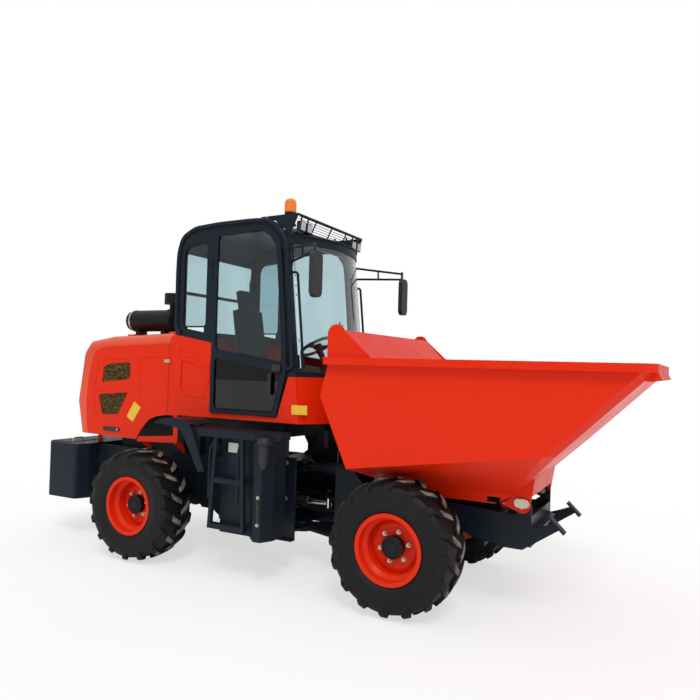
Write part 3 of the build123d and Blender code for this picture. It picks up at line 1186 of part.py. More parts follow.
# Air cleaner along the top of the bonnet, with its pre-cleaner on a neck.
CLEANER = Vector(CAB_REAR_X - 620, -60, 2400)
with BuildPart() as air_cleaner:
    with BuildSketch(side_plane(CLEANER.Y)):
        with BuildLine():
            Polyline(
                (CLEANER.X - 620, CLEANER.Z), (CLEANER.X - 610, CLEANER.Z + 60), (CLEANER.X - 580, CLEANER.Z + 110),
                (CLEANER.X - 520, CLEANER.Z + 112), (CLEANER.X - 520, CLEANER.Z + 122),
                (CLEANER.X, CLEANER.Z + 122), (CLEANER.X, CLEANER.Z + 132), (CLEANER.X + 90, CLEANER.Z + 132),
                (CLEANER.X + 110, CLEANER.Z + 60), (CLEANER.X + 110, CLEANER.Z), close=True,
            )
        make_face()
    revolve(axis=Axis((CLEANER.X, CLEANER.Y, CLEANER.Z), (1, 0, 0)))
    neck = Plane.XY.offset(CLEANER.Z)
    with BuildSketch(neck):
        with Locations((CLEANER.X + 40, CLEANER.Y)):
            Circle(45)
    extrude(amount=200)
    with BuildSketch(Plane.XY.offset(CLEANER.Z + 180)):
        with Locations((CLEANER.X + 40, CLEANER.Y)):
            Circle(103)
    extrude(amount=122)
    for x in (CLEANER.X - 60, CLEANER.X - 440):
        with BuildSketch(side_plane(CLEANER.Y - 60)):
            Polygon(
                (x - 30, bonnet_top(x - 30) + SEAT), (x + 30, bonnet_top(x + 30) + SEAT), (x + 30, CLEANER.Z - 90),
                (x - 30, CLEANER.Z - 90), align=None,
            )
        extrude(amount=-120)
air_cleaner.part.label = "air_cleaner"
export_step(air_cleaner.part, "parts/air_cleaner.step")

# ================================================================================= engine, drive
with BuildPart() as engine_block:
    with BuildSketch(Plane.XY.offset(780)):
        with Locations((REAR_AXLE_X - 420, 0)):
            Rectangle(900, 560)
    extrude(amount=900)
    with BuildSketch(Plane.XY.offset(780)):
        with Locations((REAR_AXLE_X - 420, 0)):
            Rectangle(300, 2 * (REAR_FRAME_Y - PLATE) - 2)
    extrude(amount=100)
engine_block.part.label = "engine_block"
export_step(engine_block.part, "parts/engine_block.step")

DROP_X = PIVOT_X - 480.0  # front face of the transfer case
with BuildPart() as transmission:
    with BuildSketch(side_plane(-190)):
        Polygon(
            (REAR_AXLE_X + 30 + SEAT, 800), (REAR_AXLE_X + 30 + SEAT, 1250), (REAR_AXLE_X + 300, 1150),
            (DROP_X - 120, 960), (DROP_X, 940), (DROP_X, 440), (DROP_X - 230, 440), (DROP_X - 230, 760),
            align=None,
        )
    extrude(amount=-380)
    for x, way in ((DROP_X, 1), (DROP_X - 230, -1)):
        with BuildSketch(Plane(origin=(x, 0, AXLE_Z), x_dir=(0, 1, 0), z_dir=(way, 0, 0))):
            Circle(SHAFT_FLANGE_R)
        extrude(amount=15)
    with BuildSketch(Plane.XY.offset(860)):
        with Locations((DROP_X - 120, 0)):
            Rectangle(120, 2 * (REAR_FRAME_Y - PLATE) - 2)
    extrude(amount=60)
transmission.part.label = "transmission"
export_step(transmission.part, "parts/transmission.step")

# Propeller shafts: transfer case to each axle; the front run is jointed at the steering pivot.
with BuildPart() as prop_shaft_rear:
    rear_from = REAR_AXLE_X + NOSE_L + SEAT
    rear_to = DROP_X - 230 - 15 - SEAT
    for x0, x1 in ((rear_from, rear_to), (DROP_X + 15 + SEAT, PIVOT_X - 70)):
        with BuildSketch(Plane(origin=(x0, 0, AXLE_Z), x_dir=(0, 1, 0), z_dir=(1, 0, 0))):
            Circle(SHAFT_R)
        extrude(amount=x1 - x0)
        with BuildSketch(Plane(origin=(x0, 0, AXLE_Z), x_dir=(0, 1, 0), z_dir=(1, 0, 0))):
            Circle(SHAFT_FLANGE_R)
        extrude(amount=14)
    with BuildSketch(Plane(origin=(rear_to, 0, AXLE_Z), x_dir=(0, 1, 0), z_dir=(-1, 0, 0))):
        Circle(SHAFT_FLANGE_R)
    extrude(amount=14)
    with BuildSketch(Plane(origin=(PIVOT_X - 70, 0, AXLE_Z), x_dir=(0, 1, 0), z_dir=(1, 0, 0))):
        Circle(15)
    extrude(amount=70)
    with BuildSketch(side_plane(0)):
        with Locations((PIVOT_X, AXLE_Z)):
            Circle(30)
            Rectangle(60, 30, align=(Align.CENTER, Align.MAX), mode=Mode.SUBTRACT)
    revolve(axis=Axis((PIVOT_X, 0, AXLE_Z), (1, 0, 0)))
prop_shaft_rear.part.label = "prop_shaft_rear"
export_step(prop_shaft_rear.part, "parts/prop_shaft_rear.step")
with BuildPart() as prop_shaft_front:
    front_plane = Plane(origin=(PIVOT_X, 0, AXLE_Z), x_dir=(0, 1, 0), z_dir=(1, 0, 0))
    span = FRONT_AXLE_X - NOSE_L - SEAT - PIVOT_X
    with BuildSketch(front_plane.offset(34)):
        Circle(15)
    extrude(amount=40)
    with BuildSketch(front_plane.offset(70)):
        Circle(SHAFT_R)
    extrude(amount=span - 70)
    with BuildSketch(front_plane.offset(span - 14)):
        Circle(SHAFT_FLANGE_R)
    extrude(amount=14)
prop_shaft_front.part.label = "prop_shaft_front"
export_step(prop_shaft_front.part, "parts/prop_shaft_front.step")

# ===================================================================================== bodywork
TANK_OUT = 1000.0
TANK_IN = 640.0
DECK_OUT = 970.0
TANK_Z = (410.0, 1270.0)
DECK_Z = (1270.0, 1335.0)
LADDER_RAILS = ((PIVOT_X - 360, PIVOT_X - 410), (PIVOT_X - 70, PIVOT_X - 40))  # X at the deck and at the foot
LADDER_Z = 455.0
for hand, side, tank_name in (("right", -1, "fuel_tank"), ("left", 1, "hydraulic_tank")):
    with BuildPart() as tank:
        with BuildSketch(Plane.XY.offset(TANK_Z[0])):
            Polygon(
                (PIVOT_X - 360, side * TANK_IN), (PIVOT_X - 360, side * (TANK_OUT - 130)),
                (PIVOT_X - 30, side * (TANK_OUT - 130)), (PIVOT_X + 100, side * TANK_OUT),
                (PIVOT_X + 175, side * TANK_OUT), (PIVOT_X + 228, side * (TANK_OUT - 112)),
                (PIVOT_X + 228, side * 700), (PIVOT_X + 180, side * TANK_IN), align=None,
            )
        extrude(amount=TANK_Z[1] - TANK_Z[0] - SEAT)
        # brackets to the frame
        for z in (520, 1000):
            with BuildSketch(Plane.XY.offset(z)):
                with Locations((PIVOT_X - 60, side * (TANK_IN + REAR_FRAME_Y + 2 + SEAT) / 2)):
                    Rectangle(120, TANK_IN - REAR_FRAME_Y + 2 - SEAT)
            extrude(amount=14)
    tank.part.label = tank_name
    export_step(tank.part, f"parts/{tank_name}.step")

    # Step and deck: two rungs between bent rails, under the deck beside the cab.
    with BuildPart() as step:
        with BuildSketch(Plane.XY.offset(DECK_Z[0])):
            Polygon(
                (PIVOT_X - 700, side * 690), (PIVOT_X - 700, side * DECK_OUT), (PIVOT_X + 60, side * DECK_OUT),
                (PIVOT_X + 260, side * 850), (PIVOT_X + 260, side * 690), align=None,
            )
        extrude(amount=DECK_Z[1] - DECK_Z[0])
        for x0, x1 in LADDER_RAILS:
            with BuildSketch(side_plane(side * DECK_OUT)):
                Polygon(
                    (x0 - 18, DECK_Z[0] + 5), (x0 + 18, DECK_Z[0] + 5), (x1 + 18, LADDER_Z), (x1 - 18, LADDER_Z),
                    align=None,
                )
            extrude(amount=-36 if side < 0 else 36)
        for z in (LADDER_Z + 15, LADDER_Z + 425):
            share = (z - LADDER_Z) / (DECK_Z[0] - LADDER_Z)
            rear_x, front_x = (foot + share * (head - foot) for head, foot in LADDER_RAILS)
            with BuildSketch(side_plane(side * (DECK_OUT - 70))):
                with Locations(((rear_x + front_x) / 2, z + 7)):
                    Rectangle(front_x - rear_x, 45)
            extrude(amount=70 if side < 0 else -70)
    step.part.label = f"step_{hand}"
    export_step(step.part, f"parts/step_{hand}.step")

    # Wheel guard: plate over the tyre's front, on a tapering leg.
    with BuildPart() as fender:
        with BuildSketch(Plane.XY.offset(1385)):
            with Locations((PIVOT_X - 745, side * 845)):
                Rectangle(580, 300)
        extrude(amount=8)
        with BuildSketch(side_plane(side * (DECK_OUT + 31))):
            Polygon(
                (PIVOT_X - 940, 1390), (PIVOT_X - 480, 1390), (PIVOT_X - 480, 1370), (PIVOT_X - 600, 1350),
                (PIVOT_X - 470, 945), (PIVOT_X - 520, 945), (PIVOT_X - 700, 1340), align=None,
            )
        extrude(amount=-30 if side < 0 else 30)
        with BuildSketch(side_plane(side * (CAB_HALF_W + 46))):
            Polygon(
                (PIVOT_X - 700, 1386), (PIVOT_X - 660, 1386), (PIVOT_X - 660, DECK_Z[1] + SEAT),
                (PIVOT_X - 700, DECK_Z[1] + SEAT), align=None,
            )
        extrude(amount=200 if side < 0 else -200)
    fender.part.label = f"fender_{hand}"
    export_step(fender.part, f"parts/fender_{hand}.step")

# Counterweight across the tail, hollowed as a locker under its lid.
CW_REAR_X = REAR_AXLE_X - 1631.0
CW_HALF_W = 690.0
LOCKER = (CW_REAR_X + 75, TAIL_X - 37, -CW_HALF_W + 80, -140.0)  # mouth: X from, X to, Y from, Y to
CW_Z = (420.0, CW_TOP_Z)
with BuildPart() as counterweight:
    with BuildSketch(Plane.XY.offset(CW_Z[0])):
        Polygon(
            (COUNTER_X - SEAT, -560), (COUNTER_X - 60, -CW_HALF_W), (CW_REAR_X + 90, -CW_HALF_W),
            (CW_REAR_X, -CW_HALF_W + 90), (CW_REAR_X, CW_HALF_W - 90), (CW_REAR_X + 90, CW_HALF_W),
            (COUNTER_X - 60, CW_HALF_W), (COUNTER_X - SEAT, 560), align=None,
        )
    extrude(amount=CW_Z[1] - CW_Z[0])
    fillet(counterweight.edges().filter_by(Axis.Z), 45)
    with BuildSketch(Plane.XY.offset(CW_Z[1])):
        with Locations(((LOCKER[0] + LOCKER[1]) / 2, (LOCKER[2] + LOCKER[3]) / 2)):
            Rectangle(LOCKER[1] - LOCKER[0], LOCKER[3] - LOCKER[2])
    extrude(amount=-380, mode=Mode.SUBTRACT)
counterweight.part.label = "counterweight"
export_step(counterweight.part, "parts/counterweight.step")
with BuildPart() as counterweight_lid:
    with BuildSketch(Plane.XY.offset(CW_Z[1] + SEAT)):
        with Locations(((LOCKER[0] + LOCKER[1]) / 2, (LOCKER[2] + LOCKER[3]) / 2)):
            RectangleRounded(LOCKER[1] - LOCKER[0] + 50, LOCKER[3] - LOCKER[2] + 50, 20)
    extrude(amount=6)
counterweight_lid.part.label = "counterweight_lid"
export_step(counterweight_lid.part, "parts/counterweight_lid.step")
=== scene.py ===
from math import copysign, cos, hypot, pi, radians, sin, sqrt

import bmesh
import bpy
from mathutils import Matrix, Vector


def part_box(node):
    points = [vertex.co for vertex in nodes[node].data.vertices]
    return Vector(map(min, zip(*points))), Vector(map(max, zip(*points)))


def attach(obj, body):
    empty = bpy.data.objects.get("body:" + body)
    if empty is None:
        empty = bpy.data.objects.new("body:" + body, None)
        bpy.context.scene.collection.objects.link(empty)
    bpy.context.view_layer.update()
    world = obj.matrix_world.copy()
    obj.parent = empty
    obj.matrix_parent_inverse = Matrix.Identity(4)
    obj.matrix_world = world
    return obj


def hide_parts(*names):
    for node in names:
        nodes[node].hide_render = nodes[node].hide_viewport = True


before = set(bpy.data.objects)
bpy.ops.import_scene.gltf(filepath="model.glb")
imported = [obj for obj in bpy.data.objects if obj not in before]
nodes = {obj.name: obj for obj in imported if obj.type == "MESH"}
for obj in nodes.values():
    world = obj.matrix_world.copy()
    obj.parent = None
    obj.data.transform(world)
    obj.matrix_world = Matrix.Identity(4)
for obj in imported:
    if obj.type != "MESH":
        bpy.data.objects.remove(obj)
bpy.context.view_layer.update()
scene = bpy.context.scene
scene.view_settings.view_transform = "Standard"

# ---- the view
# Eye level with the windscreen's sill, off the front right corner, looking very slightly up,
# with the horizon tipped by a degree and a half.
EYE = (3.3231, -5.6772, 1.9316)
turn, lift, tip = radians(28.34), radians(1.243), radians(1.574)
ahead = Vector((-sin(turn), cos(turn), 0.0)) * cos(lift)
forward = ahead + Vector((0.0, 0.0, sin(lift)))
level = Vector((cos(turn), sin(turn), 0.0))
right = level * cos(tip) + level.cross(forward) * sin(tip)
up = right.cross(forward)


def placed(name, data):
    """A new object in the scene."""
    made = bpy.data.objects.new(name, data)
    bpy.context.collection.objects.link(made)
    return made


lens = bpy.data.cameras.new("view")
lens.lens, lens.sensor_width = 33.96, 36.0
lens.shift_x, lens.shift_y = 0.0120, 0.0039
lens.clip_end = 200.0
camera = placed("view", lens)
aim = Matrix((right, up, -forward)).transposed().to_4x4()
camera.matrix_world = Matrix.Translation(EYE) @ aim
scene.camera = camera


# ---- floor and daylight
# A plain pale floor under an even overcast sky, with one large soft sun from the front right.
# Both look nearly white to the eye, and light the object less than that.
def linear(code):
    """An sRGB hex colour as linear RGBA."""
    parts = [int(code[i:i + 2], 16) / 255 for i in (1, 3, 5)]
    return (*(c / 12.92 if c <= 0.04045 else ((c + 0.055) / 1.055) ** 2.4 for c in parts), 1.0)


def node(tree, kind, links=None, **settings):
    """Adds a node; links are its inputs (values or sockets), settings its attributes."""
    made = tree.nodes.new(kind)
    for name, value in settings.items():
        setattr(made, name, value)
    for name, value in (links or {}).items():
        if isinstance(value, bpy.types.NodeSocket):
            tree.links.new(value, made.inputs[name])
        else:
            made.inputs[name].default_value = value
    return made


def blank(name):
    """A material with an empty tree."""
    made = bpy.data.materials.new(name)
    made.use_nodes = True
    made.node_tree.nodes.clear()
    return made, made.node_tree


def surface(tree, shader):
    """Makes the shader the material's surface."""
    tree.links.new(shader.outputs[0], node(tree, "ShaderNodeOutputMaterial").inputs["Surface"])


def place(tree):
    """Where a point lies on the object, in metres."""
    return node(tree, "ShaderNodeTexCoord").outputs["Object"]


def noise(tree, scale, detail=2.0, roughness=0.5):
    """Noise fixed to the object, scale in waves a metre."""
    made = node(tree, "ShaderNodeTexNoise", {
        "Vector": place(tree), "Scale": scale, "Detail": detail, "Roughness": roughness})
    return made.outputs["Fac"]


def mixed(tree, share, first, second):
    """A colour that goes from the first hex colour to the second."""
    return node(tree, "ShaderNodeMix", {0: share, 6: linear(first), 7: linear(second)},
                data_type="RGBA").outputs[2]


def ranged(tree, value, low, high, start=0.0, end=1.0):
    """The value's range from start to end, mapped to low to high."""
    made = node(tree, "ShaderNodeMapRange", {
        "Value": value, "From Min": start, "From Max": end, "To Min": low, "To Max": high})
    return made.outputs[0]


def to_eye(tree):
    """1 on rays from the camera and through glass, 0 on the rays that light the scene."""
    rays = node(tree, "ShaderNodeLightPath").outputs
    return node(tree, "ShaderNodeMath", {
        0: rays["Is Camera Ray"], 1: rays["Is Transmission Ray"]}, operation="MAXIMUM").outputs[0]


def outwards(mesh, near):
    """Joins points nearer than near, and turns all faces outwards."""
    work = bmesh.new()
    work.from_mesh(mesh)
    bmesh.ops.remove_doubles(work, verts=work.verts, dist=near)
    bmesh.ops.recalc_face_normals(work, faces=work.faces)
    work.to_mesh(mesh)
    work.free()


def add_mesh(name, points, faces):
    """An object at the origin from points and faces, its faces turned outwards."""
    mesh = bpy.data.meshes.new(name)
    mesh.from_pydata([tuple(p) for p in points], [], faces)
    outwards(mesh, 1e-6)
    return placed(name, mesh)


paving, tree = blank("pale_sealed_floor")
# Pale matt floor that also glows a little to the eye, as a lit studio floor does.
pale = mixed(tree, noise(tree, 0.6), "#f4f4f4", "#fafafa")
matt = node(tree, "ShaderNodeBsdfDiffuse", {"Color": pale})
glow = node(tree, "ShaderNodeEmission", {"Color": linear("#ffffff"), "Strength": 1.0})
share = node(tree, "ShaderNodeMath", {0: to_eye(tree), 1: 0.62}, operation="MULTIPLY")
surface(tree, node(tree, "ShaderNodeMixShader", {
    0: share.outputs[0], 1: matt.outputs[0], 2: glow.outputs[0]}))
CORNERS, FLOOR_R = ((-1, -1), (1, -1), (1, 1), (-1, 1)), 60
floor = add_mesh("floor", [(FLOOR_R * x, FLOOR_R * y, 0) for x, y in CORNERS],
                 [(0, 1, 2, 3)])
floor.data.materials.append(paving)

sky = bpy.data.worlds.new("overcast")
sky.use_nodes = True
scene.world = sky
tree = sky.node_tree
tree.nodes.clear()
towards = node(tree, "ShaderNodeTexCoord").outputs["Generated"]
height = node(tree, "ShaderNodeSeparateXYZ", {0: towards}).outputs["Z"]
power = node(tree, "ShaderNodeMix", {
    0: to_eye(tree), 2: ranged(tree, height, 0.42, 0.92, -0.1, 0.9), 3: 1.0}).outputs[0]
light = node(tree, "ShaderNodeBackground", {"Color": linear("#ffffff"), "Strength": power})
tree.links.new(light.outputs[0], node(tree, "ShaderNodeOutputWorld").inputs["Surface"])

sun = bpy.data.lights.new("sun", "SUN")
sun.energy, sun.angle = 1.15, radians(18)
sun_at = placed("sun", sun)
sun_at.rotation_euler = Vector((-0.55, 0.85, -1.25)).to_track_quat("-Z", "Y").to_euler()


# ---- tyres
# Directional traction tyres of black natural rubber, moulded with sixteen bars a side that meet
# in a chevron pointing forward at the top. The casing is smooth under them, with two thin ribs.
AXLES = {"front_right": (1.25, -1), "front_left": (1.25, 1),
         "rear_right": (-1.49, -1), "rear_left": (-1.49, 1)}
AXLE_Z, WHEEL_Y = 0.5375, 0.845


def bumped(tree, height, strength, distance):
    """A normal disturbed by height, distance in metres."""
    return node(tree, "ShaderNodeBump", {
        "Height": height, "Strength": strength, "Distance": distance}).outputs[0]


def skin(tree, colour, rough, **others):
    """Ends a material with one principled shader; Coat_Weight stands for Coat Weight."""
    surface(tree, node(tree, "ShaderNodeBsdfPrincipled", {
        "Base Color": colour, "Roughness": rough,
        **{name.replace("_", " "): value for name, value in others.items()}}))


rubber, tree = blank("moulded_tyre_rubber")
# Matt black that greys where dust lies: a soft sheen broken by fine mould texture.
cloud = noise(tree, 7.0, 6.0)
skin(tree, mixed(tree, ranged(tree, cloud, 0.0, 1.0, 0.45, 0.8), "#050608", "#101113"),
     ranged(tree, cloud, 0.48, 0.72), IOR=1.52, Specular_IOR_Level=0.3,
     Normal=bumped(tree, noise(tree, 260.0, 3.0), 0.25, 0.001))

worn, tree = blank("worn_tread_rubber")
# The tops of the tread bars, greyed to a dusty brown where they have rolled over dry ground.
dust = ranged(tree, noise(tree, 14.0, 6.0), 0.0, 1.0, 0.35, 0.65)
skin(tree, mixed(tree, dust, "#4c4841", "#8b8375"), 0.85)

# stations along one bar, from the sidewall to the crown: outer width and radius, inner width and
# radius, half width round the tyre, and how far it has swept forward, in millimetres
BAR = (
    (197, 432, 184, 432, 20, -12), (199, 468, 178, 462, 27, -8), (189, 497, 165, 478, 29, 0),
    (166, 516, 150, 480, 29, 14), (112, 529, 108, 488, 27, 52), (56, 535, 54, 494, 24, 92),
    (-5, 537.4, -4, 497, 19, 124),
)
BAR_FOOT, BAR_MEAN_R = 9, 500  # how much wider its foot is, and the radius of its sweep


def tread_bar(side):
    """One bar, standing at the top of a tyre centred on the origin."""
    points, faces = [], []
    for out_w, out_r, in_w, in_r, half, sweep in BAR:
        for w, r, wide in ((out_w, out_r, half), (in_w, in_r, half + BAR_FOOT)):
            for way in (-1, 1):
                angle = (sweep + way * wide) / BAR_MEAN_R
                points.append(Vector((r * sin(angle), side * w, r * cos(angle))) / 1000)
    last = 4 * (len(BAR) - 1)
    for a in range(0, last, 4):
        faces += [tuple(a + k for k in quad) for quad in
                  ((0, 1, 5, 4), (1, 3, 7, 5), (3, 2, 6, 7), (2, 0, 4, 6))]
    faces += [(0, 2, 3, 1), (last, last + 1, last + 3, last + 2)]
    bar = add_mesh("tread_bar", points, faces)
    soften = bar.modifiers.new("soften", "BEVEL")
    soften.width, soften.segments = 0.004, 2
    return bar


def quads(rows, count, closed=False, ring=True):
    """Faces between rows of points; closed joins last row to first, ring the ends of each row."""
    return [(k * count + i, k * count + (i + 1) % count,
             (k + 1) % rows * count + (i + 1) % count, (k + 1) % rows * count + i)
            for k in range(rows - (not closed)) for i in range(count - (not ring))]


def spun(profile, steps):
    """A ring turned about the Y axis from a closed profile of (y, radius) in metres."""
    points = [(r * sin(2 * pi * k / steps), y, r * cos(2 * pi * k / steps))
              for k in range(steps) for y, r in profile]
    return add_mesh("ring", points, quads(steps, len(profile), closed=True))


def group(name, **kinds):
    """A new geometry node group: its tree, what it is given, and each input's identifier."""
    tree = bpy.data.node_groups.new(name, "GeometryNodeTree")
    keys = {}
    for key, kind in {"Geometry": "Geometry", **kinds}.items():
        socket = tree.interface.new_socket(key, in_out="INPUT", socket_type="NodeSocket" + kind)
        keys[key] = socket.identifier
    tree.interface.new_socket("Geometry", in_out="OUTPUT", socket_type="NodeSocketGeometry")
    return tree, node(tree, "NodeGroupInput").outputs, keys


def realised(tree, given, geometry):
    """Ends a group: its copies become real geometry with the group's finish."""
    solid = node(tree, "GeometryNodeRealizeInstances", {"Geometry": geometry}).outputs[0]
    done = node(tree, "GeometryNodeSetMaterial", {"Geometry": solid, "Material": given["Finish"]})
    tree.links.new(done.outputs[0], node(tree, "NodeGroupOutput").inputs[0])


# geometry nodes: copies of one object spun about Y, joined to the mesh
ring_group, given, ring_keys = group(
    "copies round a hub", Piece="Object", Count="Int", Start="Float", Finish="Material")
dots = node(ring_group, "GeometryNodePoints", {"Count": given["Count"]})
step = node(ring_group, "ShaderNodeMath", {0: 2 * pi, 1: given["Count"]}, operation="DIVIDE")
number = node(ring_group, "GeometryNodeInputIndex").outputs[0]
angle = node(ring_group, "ShaderNodeMath", {0: number, 1: step.outputs[0], 2: given["Start"]},
             operation="MULTIPLY_ADD")
piece = node(ring_group, "GeometryNodeObjectInfo", {"Object": given["Piece"]})
copies = node(ring_group, "GeometryNodeInstanceOnPoints", {
    "Points": dots.outputs[0], "Instance": piece.outputs["Geometry"],
    "Rotation": node(ring_group, "ShaderNodeCombineXYZ", {"Y": angle.outputs[0]}).outputs[0]})
both = node(ring_group, "GeometryNodeJoinGeometry")
ring_group.links.new(copies.outputs[0], both.inputs[0])
ring_group.links.new(given["Geometry"], both.inputs[0])
realised(ring_group, given, both.outputs[0])


def grow(thing, tree, keys, **inputs):
    """Adds a geometry node group to an object, with its inputs."""
    made = thing.modifiers.new("copies", "NODES")
    made.node_group = tree
    for name, value in inputs.items():
        made[keys[name]] = value


def settle(thing, name, finish, at=(0, 0, 0)):
    """The evaluated object as a plain mesh in its place; what it was made from is removed."""
    bpy.context.view_layer.update()
    seen = thing.evaluated_get(bpy.context.evaluated_depsgraph_get())
    mesh = bpy.data.meshes.new_from_object(seen)
    mesh.transform(Matrix.Translation(at))
    mesh.materials.clear()
    mesh.materials.append(finish)
    bpy.data.objects.remove(thing)
    return placed(name, mesh)


def smooth(piece, sharp=None):
    """Smooth shading, except at edges sharper than so many degrees."""
    for face in piece.data.polygons:
        face.use_smooth = True
    if sharp:
        piece.data.set_sharp_from_angle(angle=radians(sharp))


CASING = [(-0.1647, 0.2545), (-0.1647, 0.2850), (-0.184, 0.308), (-0.1965, 0.350), (-0.2, 0.395),
          (-0.1975, 0.398), (-0.1975, 0.402), (-0.1995, 0.405), (-0.197, 0.430), (-0.188, 0.462),
          (-0.168, 0.486), (-0.110, 0.499), (-0.05, 0.504), (0.0, 0.505)]
CASING += [(-w, r) for w, r in reversed(CASING[:-1])]
LINING = [(0.130, 0.2545), (0.155, 0.310), (0.176, 0.400), (0.140, 0.470)]
CASING += LINING + [(-w, r) for w, r in reversed(LINING)]
BARS, WORN_R = 16, 0.522
bars = {side: tread_bar(side) for side in (-1, 1)}
for name, (axle_x, side) in AXLES.items():
    casing = spun(CASING, 128)
    for hand, start in ((-1, 0.0), (1, pi / BARS)):
        grow(casing, ring_group, ring_keys,
             Piece=bars[hand], Count=BARS, Start=start, Finish=rubber)
    tyre = settle(casing, f"tread_{name}", rubber, (axle_x, side * WHEEL_Y, AXLE_Z))
    smooth(tyre, 32)
    tyre.data.materials.append(worn)
    for face in tyre.data.polygons:
        if hypot(face.center.x - axle_x, face.center.z - AXLE_Z) > WORN_R:
            face.material_index = 1
    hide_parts(f"tyre_{name}")
    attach(tyre, f"wheel_{name}")
for bar in bars.values():
    bpy.data.objects.remove(bar)

# ---- rims and hubs
# Welded steel rims in the same orange-red enamel as the bodywork, six zinc plated nuts on each,
# and a cast hub cap in black enamel with its own ring of small bolts.


def enamel(name, colour, dusty, rough):
    """Sprayed gloss enamel on steel: even colour, faint orange peel, dulled low down by dust."""
    made, tree = blank(name)
    cloud = noise(tree, 3.2, 7.0, 0.6)
    tall = node(tree, "ShaderNodeSeparateXYZ", {0: place(tree)}).outputs["Z"]
    film = node(tree, "ShaderNodeMath", {0: cloud, 1: ranged(tree, tall, 0.02, 0.22, 1.1, 0.1)},
                operation="MULTIPLY")
    skin(tree, mixed(tree, film.outputs[0], colour, dusty),
         ranged(tree, cloud, rough - 0.05, rough + 0.09, 0.3, 0.7),
         Normal=bumped(tree, noise(tree, 170.0, 1.0), 0.04, 0.0006),
         IOR=1.5, Specular_IOR_Level=0.14, Coat_Weight=0.03, Coat_Roughness=0.15)
    return made


red = enamel("orange_red_enamel", "#e22a05", "#b4502f", 0.34)
black = enamel("black_enamel", "#1a1b1e", "#4a4744", 0.40)

zinc, tree = blank("zinc_plated_steel")
# Passivated zinc: pale grey metal with a faint warm cast that varies over each nut.
cast = noise(tree, 60.0, 4.0)
skin(tree, mixed(tree, cast, "#b9b5a4", "#d8d2b8"), ranged(tree, cast, 0.25, 0.5), Metallic=1.0)


WASHER, CORNER = 0.003, 0.577  # a washer's thickness; a corner's radius per width across flats


def hexagon(name, across, tall, washer, stud=0.0):
    """A hexagon nut on its washer, pointing along +Z from the origin, with the stud's end."""
    steps = [(washer / 2, 0.0, WASHER, 24), (across * CORNER, WASHER, tall, 6)]
    if stud:
        steps.append((across * 0.28, tall, tall + stud, 12))
    work = bmesh.new()
    for radius, z0, z1, sides in steps:
        solid = bmesh.ops.create_cone(work, cap_ends=True, segments=sides, radius1=radius,
                                      radius2=radius * 0.985, depth=z1 - z0)
        bmesh.ops.translate(work, verts=solid["verts"], vec=(0, 0, (z0 + z1) / 2))
    mesh = bpy.data.meshes.new(name)
    work.to_mesh(mesh)
    work.free()
    return placed(name, mesh)


def fitted(piece, slot, *stands_for, body="chassis"):
    """Hangs a piece on the empty of the body it rides on and hides the CAD nodes it stands for;
    slot is not used.
    """
    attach(piece, body)
    if stands_for:
        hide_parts(*stands_for)
    return piece


# each ring: across flats, height, washer, stud, radius of the ring, its distance out, how many
RINGS = (("wheel_nuts", 0.030, 0.020, 0.040, 0.014, 0.122, 0.022, 6, zinc, "pin_steel"),
         ("hub_bolts", 0.013, 0.009, 0.018, 0.0, 0.048, 0.093, 8, black, "black_paint"))
CAP = ((0.02, 0.030), (0.02, 0.086), (0.066, 0.086), (0.070, 0.090), (0.078, 0.090),
       (0.084, 0.080), (0.0925, 0.060), (0.0925, 0.030))
for name, (axle_x, side) in AXLES.items():
    hub = (axle_x, side * WHEEL_Y, AXLE_Z)
    for label, across, tall, washer, stud, radius, out, count, finish, slot in RINGS:
        nut = hexagon("nut", across, tall, washer, stud)
        facing = Matrix.Rotation(-side * pi / 2, 4, "X")
        nut.data.transform(Matrix.Translation((0, side * out, radius)) @ facing)
        seed = add_mesh("seed", [], [])
        grow(seed, ring_group, ring_keys, Piece=nut, Count=count, Start=0.3, Finish=finish)
        fitted(settle(seed, f"{label}_{name}", finish, hub), slot, body=f"wheel_{name}")
        bpy.data.objects.remove(nut)
    cap = spun([(side * w, r) for w, r in CAP], 48)
    fitted(settle(cap, f"hub_cap_{name}", black, hub), "black_paint", body=f"wheel_{name}")


def paint(finish, *names):
    """Gives CAD nodes their finish."""
    for name in names:
        mesh = nodes[name].data
        mesh.materials.clear()
        mesh.materials.append(finish)


for name in AXLES:
    paint(red, f"rim_{name}")
    paint(black, f"hub_{name}")

# ---- frames and axles
# Two frames of welded and flame-cut plate in slate grey enamel, jointed at the middle; the axle
# castings are sprayed with them. The tipping and steering cylinders have ground chrome rods.
slate = enamel("slate_grey_enamel", "#18212b", "#37383a", 0.36)
paint(slate, "front_frame", "rear_frame", "front_axle", "rear_axle", "counterweight",
      "counterweight_lid")
paint(black, "tip_barrel", "steer_barrel_right", "steer_barrel_left", "prop_shaft_front",
      "prop_shaft_rear")

chrome, tree = blank("hard_chromed_rod")
# Ground hard chrome: a bright mirror with the faintest marks left by the grinding wheel.
skin(tree, linear("#d9dbdd"), ranged(tree, noise(tree, 400.0), 0.06, 0.16), Metallic=1.0)
paint(chrome, "tip_rod", "steer_rod_right", "steer_rod_left")
paint(zinc, "skip_pins")

iron, tree = blank("sand_cast_iron")
# Painted casting skin: dark grey with the pimples of the sand mould, about 2 mm apart.
skin(tree, mixed(tree, noise(tree, 5.0, 5.0), "#26282b", "#3c3c3c"), 0.7, Metallic=0.2,
     Normal=bumped(tree, noise(tree, 420.0, 4.0), 0.4, 0.001))
paint(iron, "engine_block", "transmission")

# ---- skip
# An open skip of folded 8 mm plate with a pressed lip all round, welded up and sprayed
# orange-red inside and out. It hangs on two zinc plated pins.
paint(red, "skip")

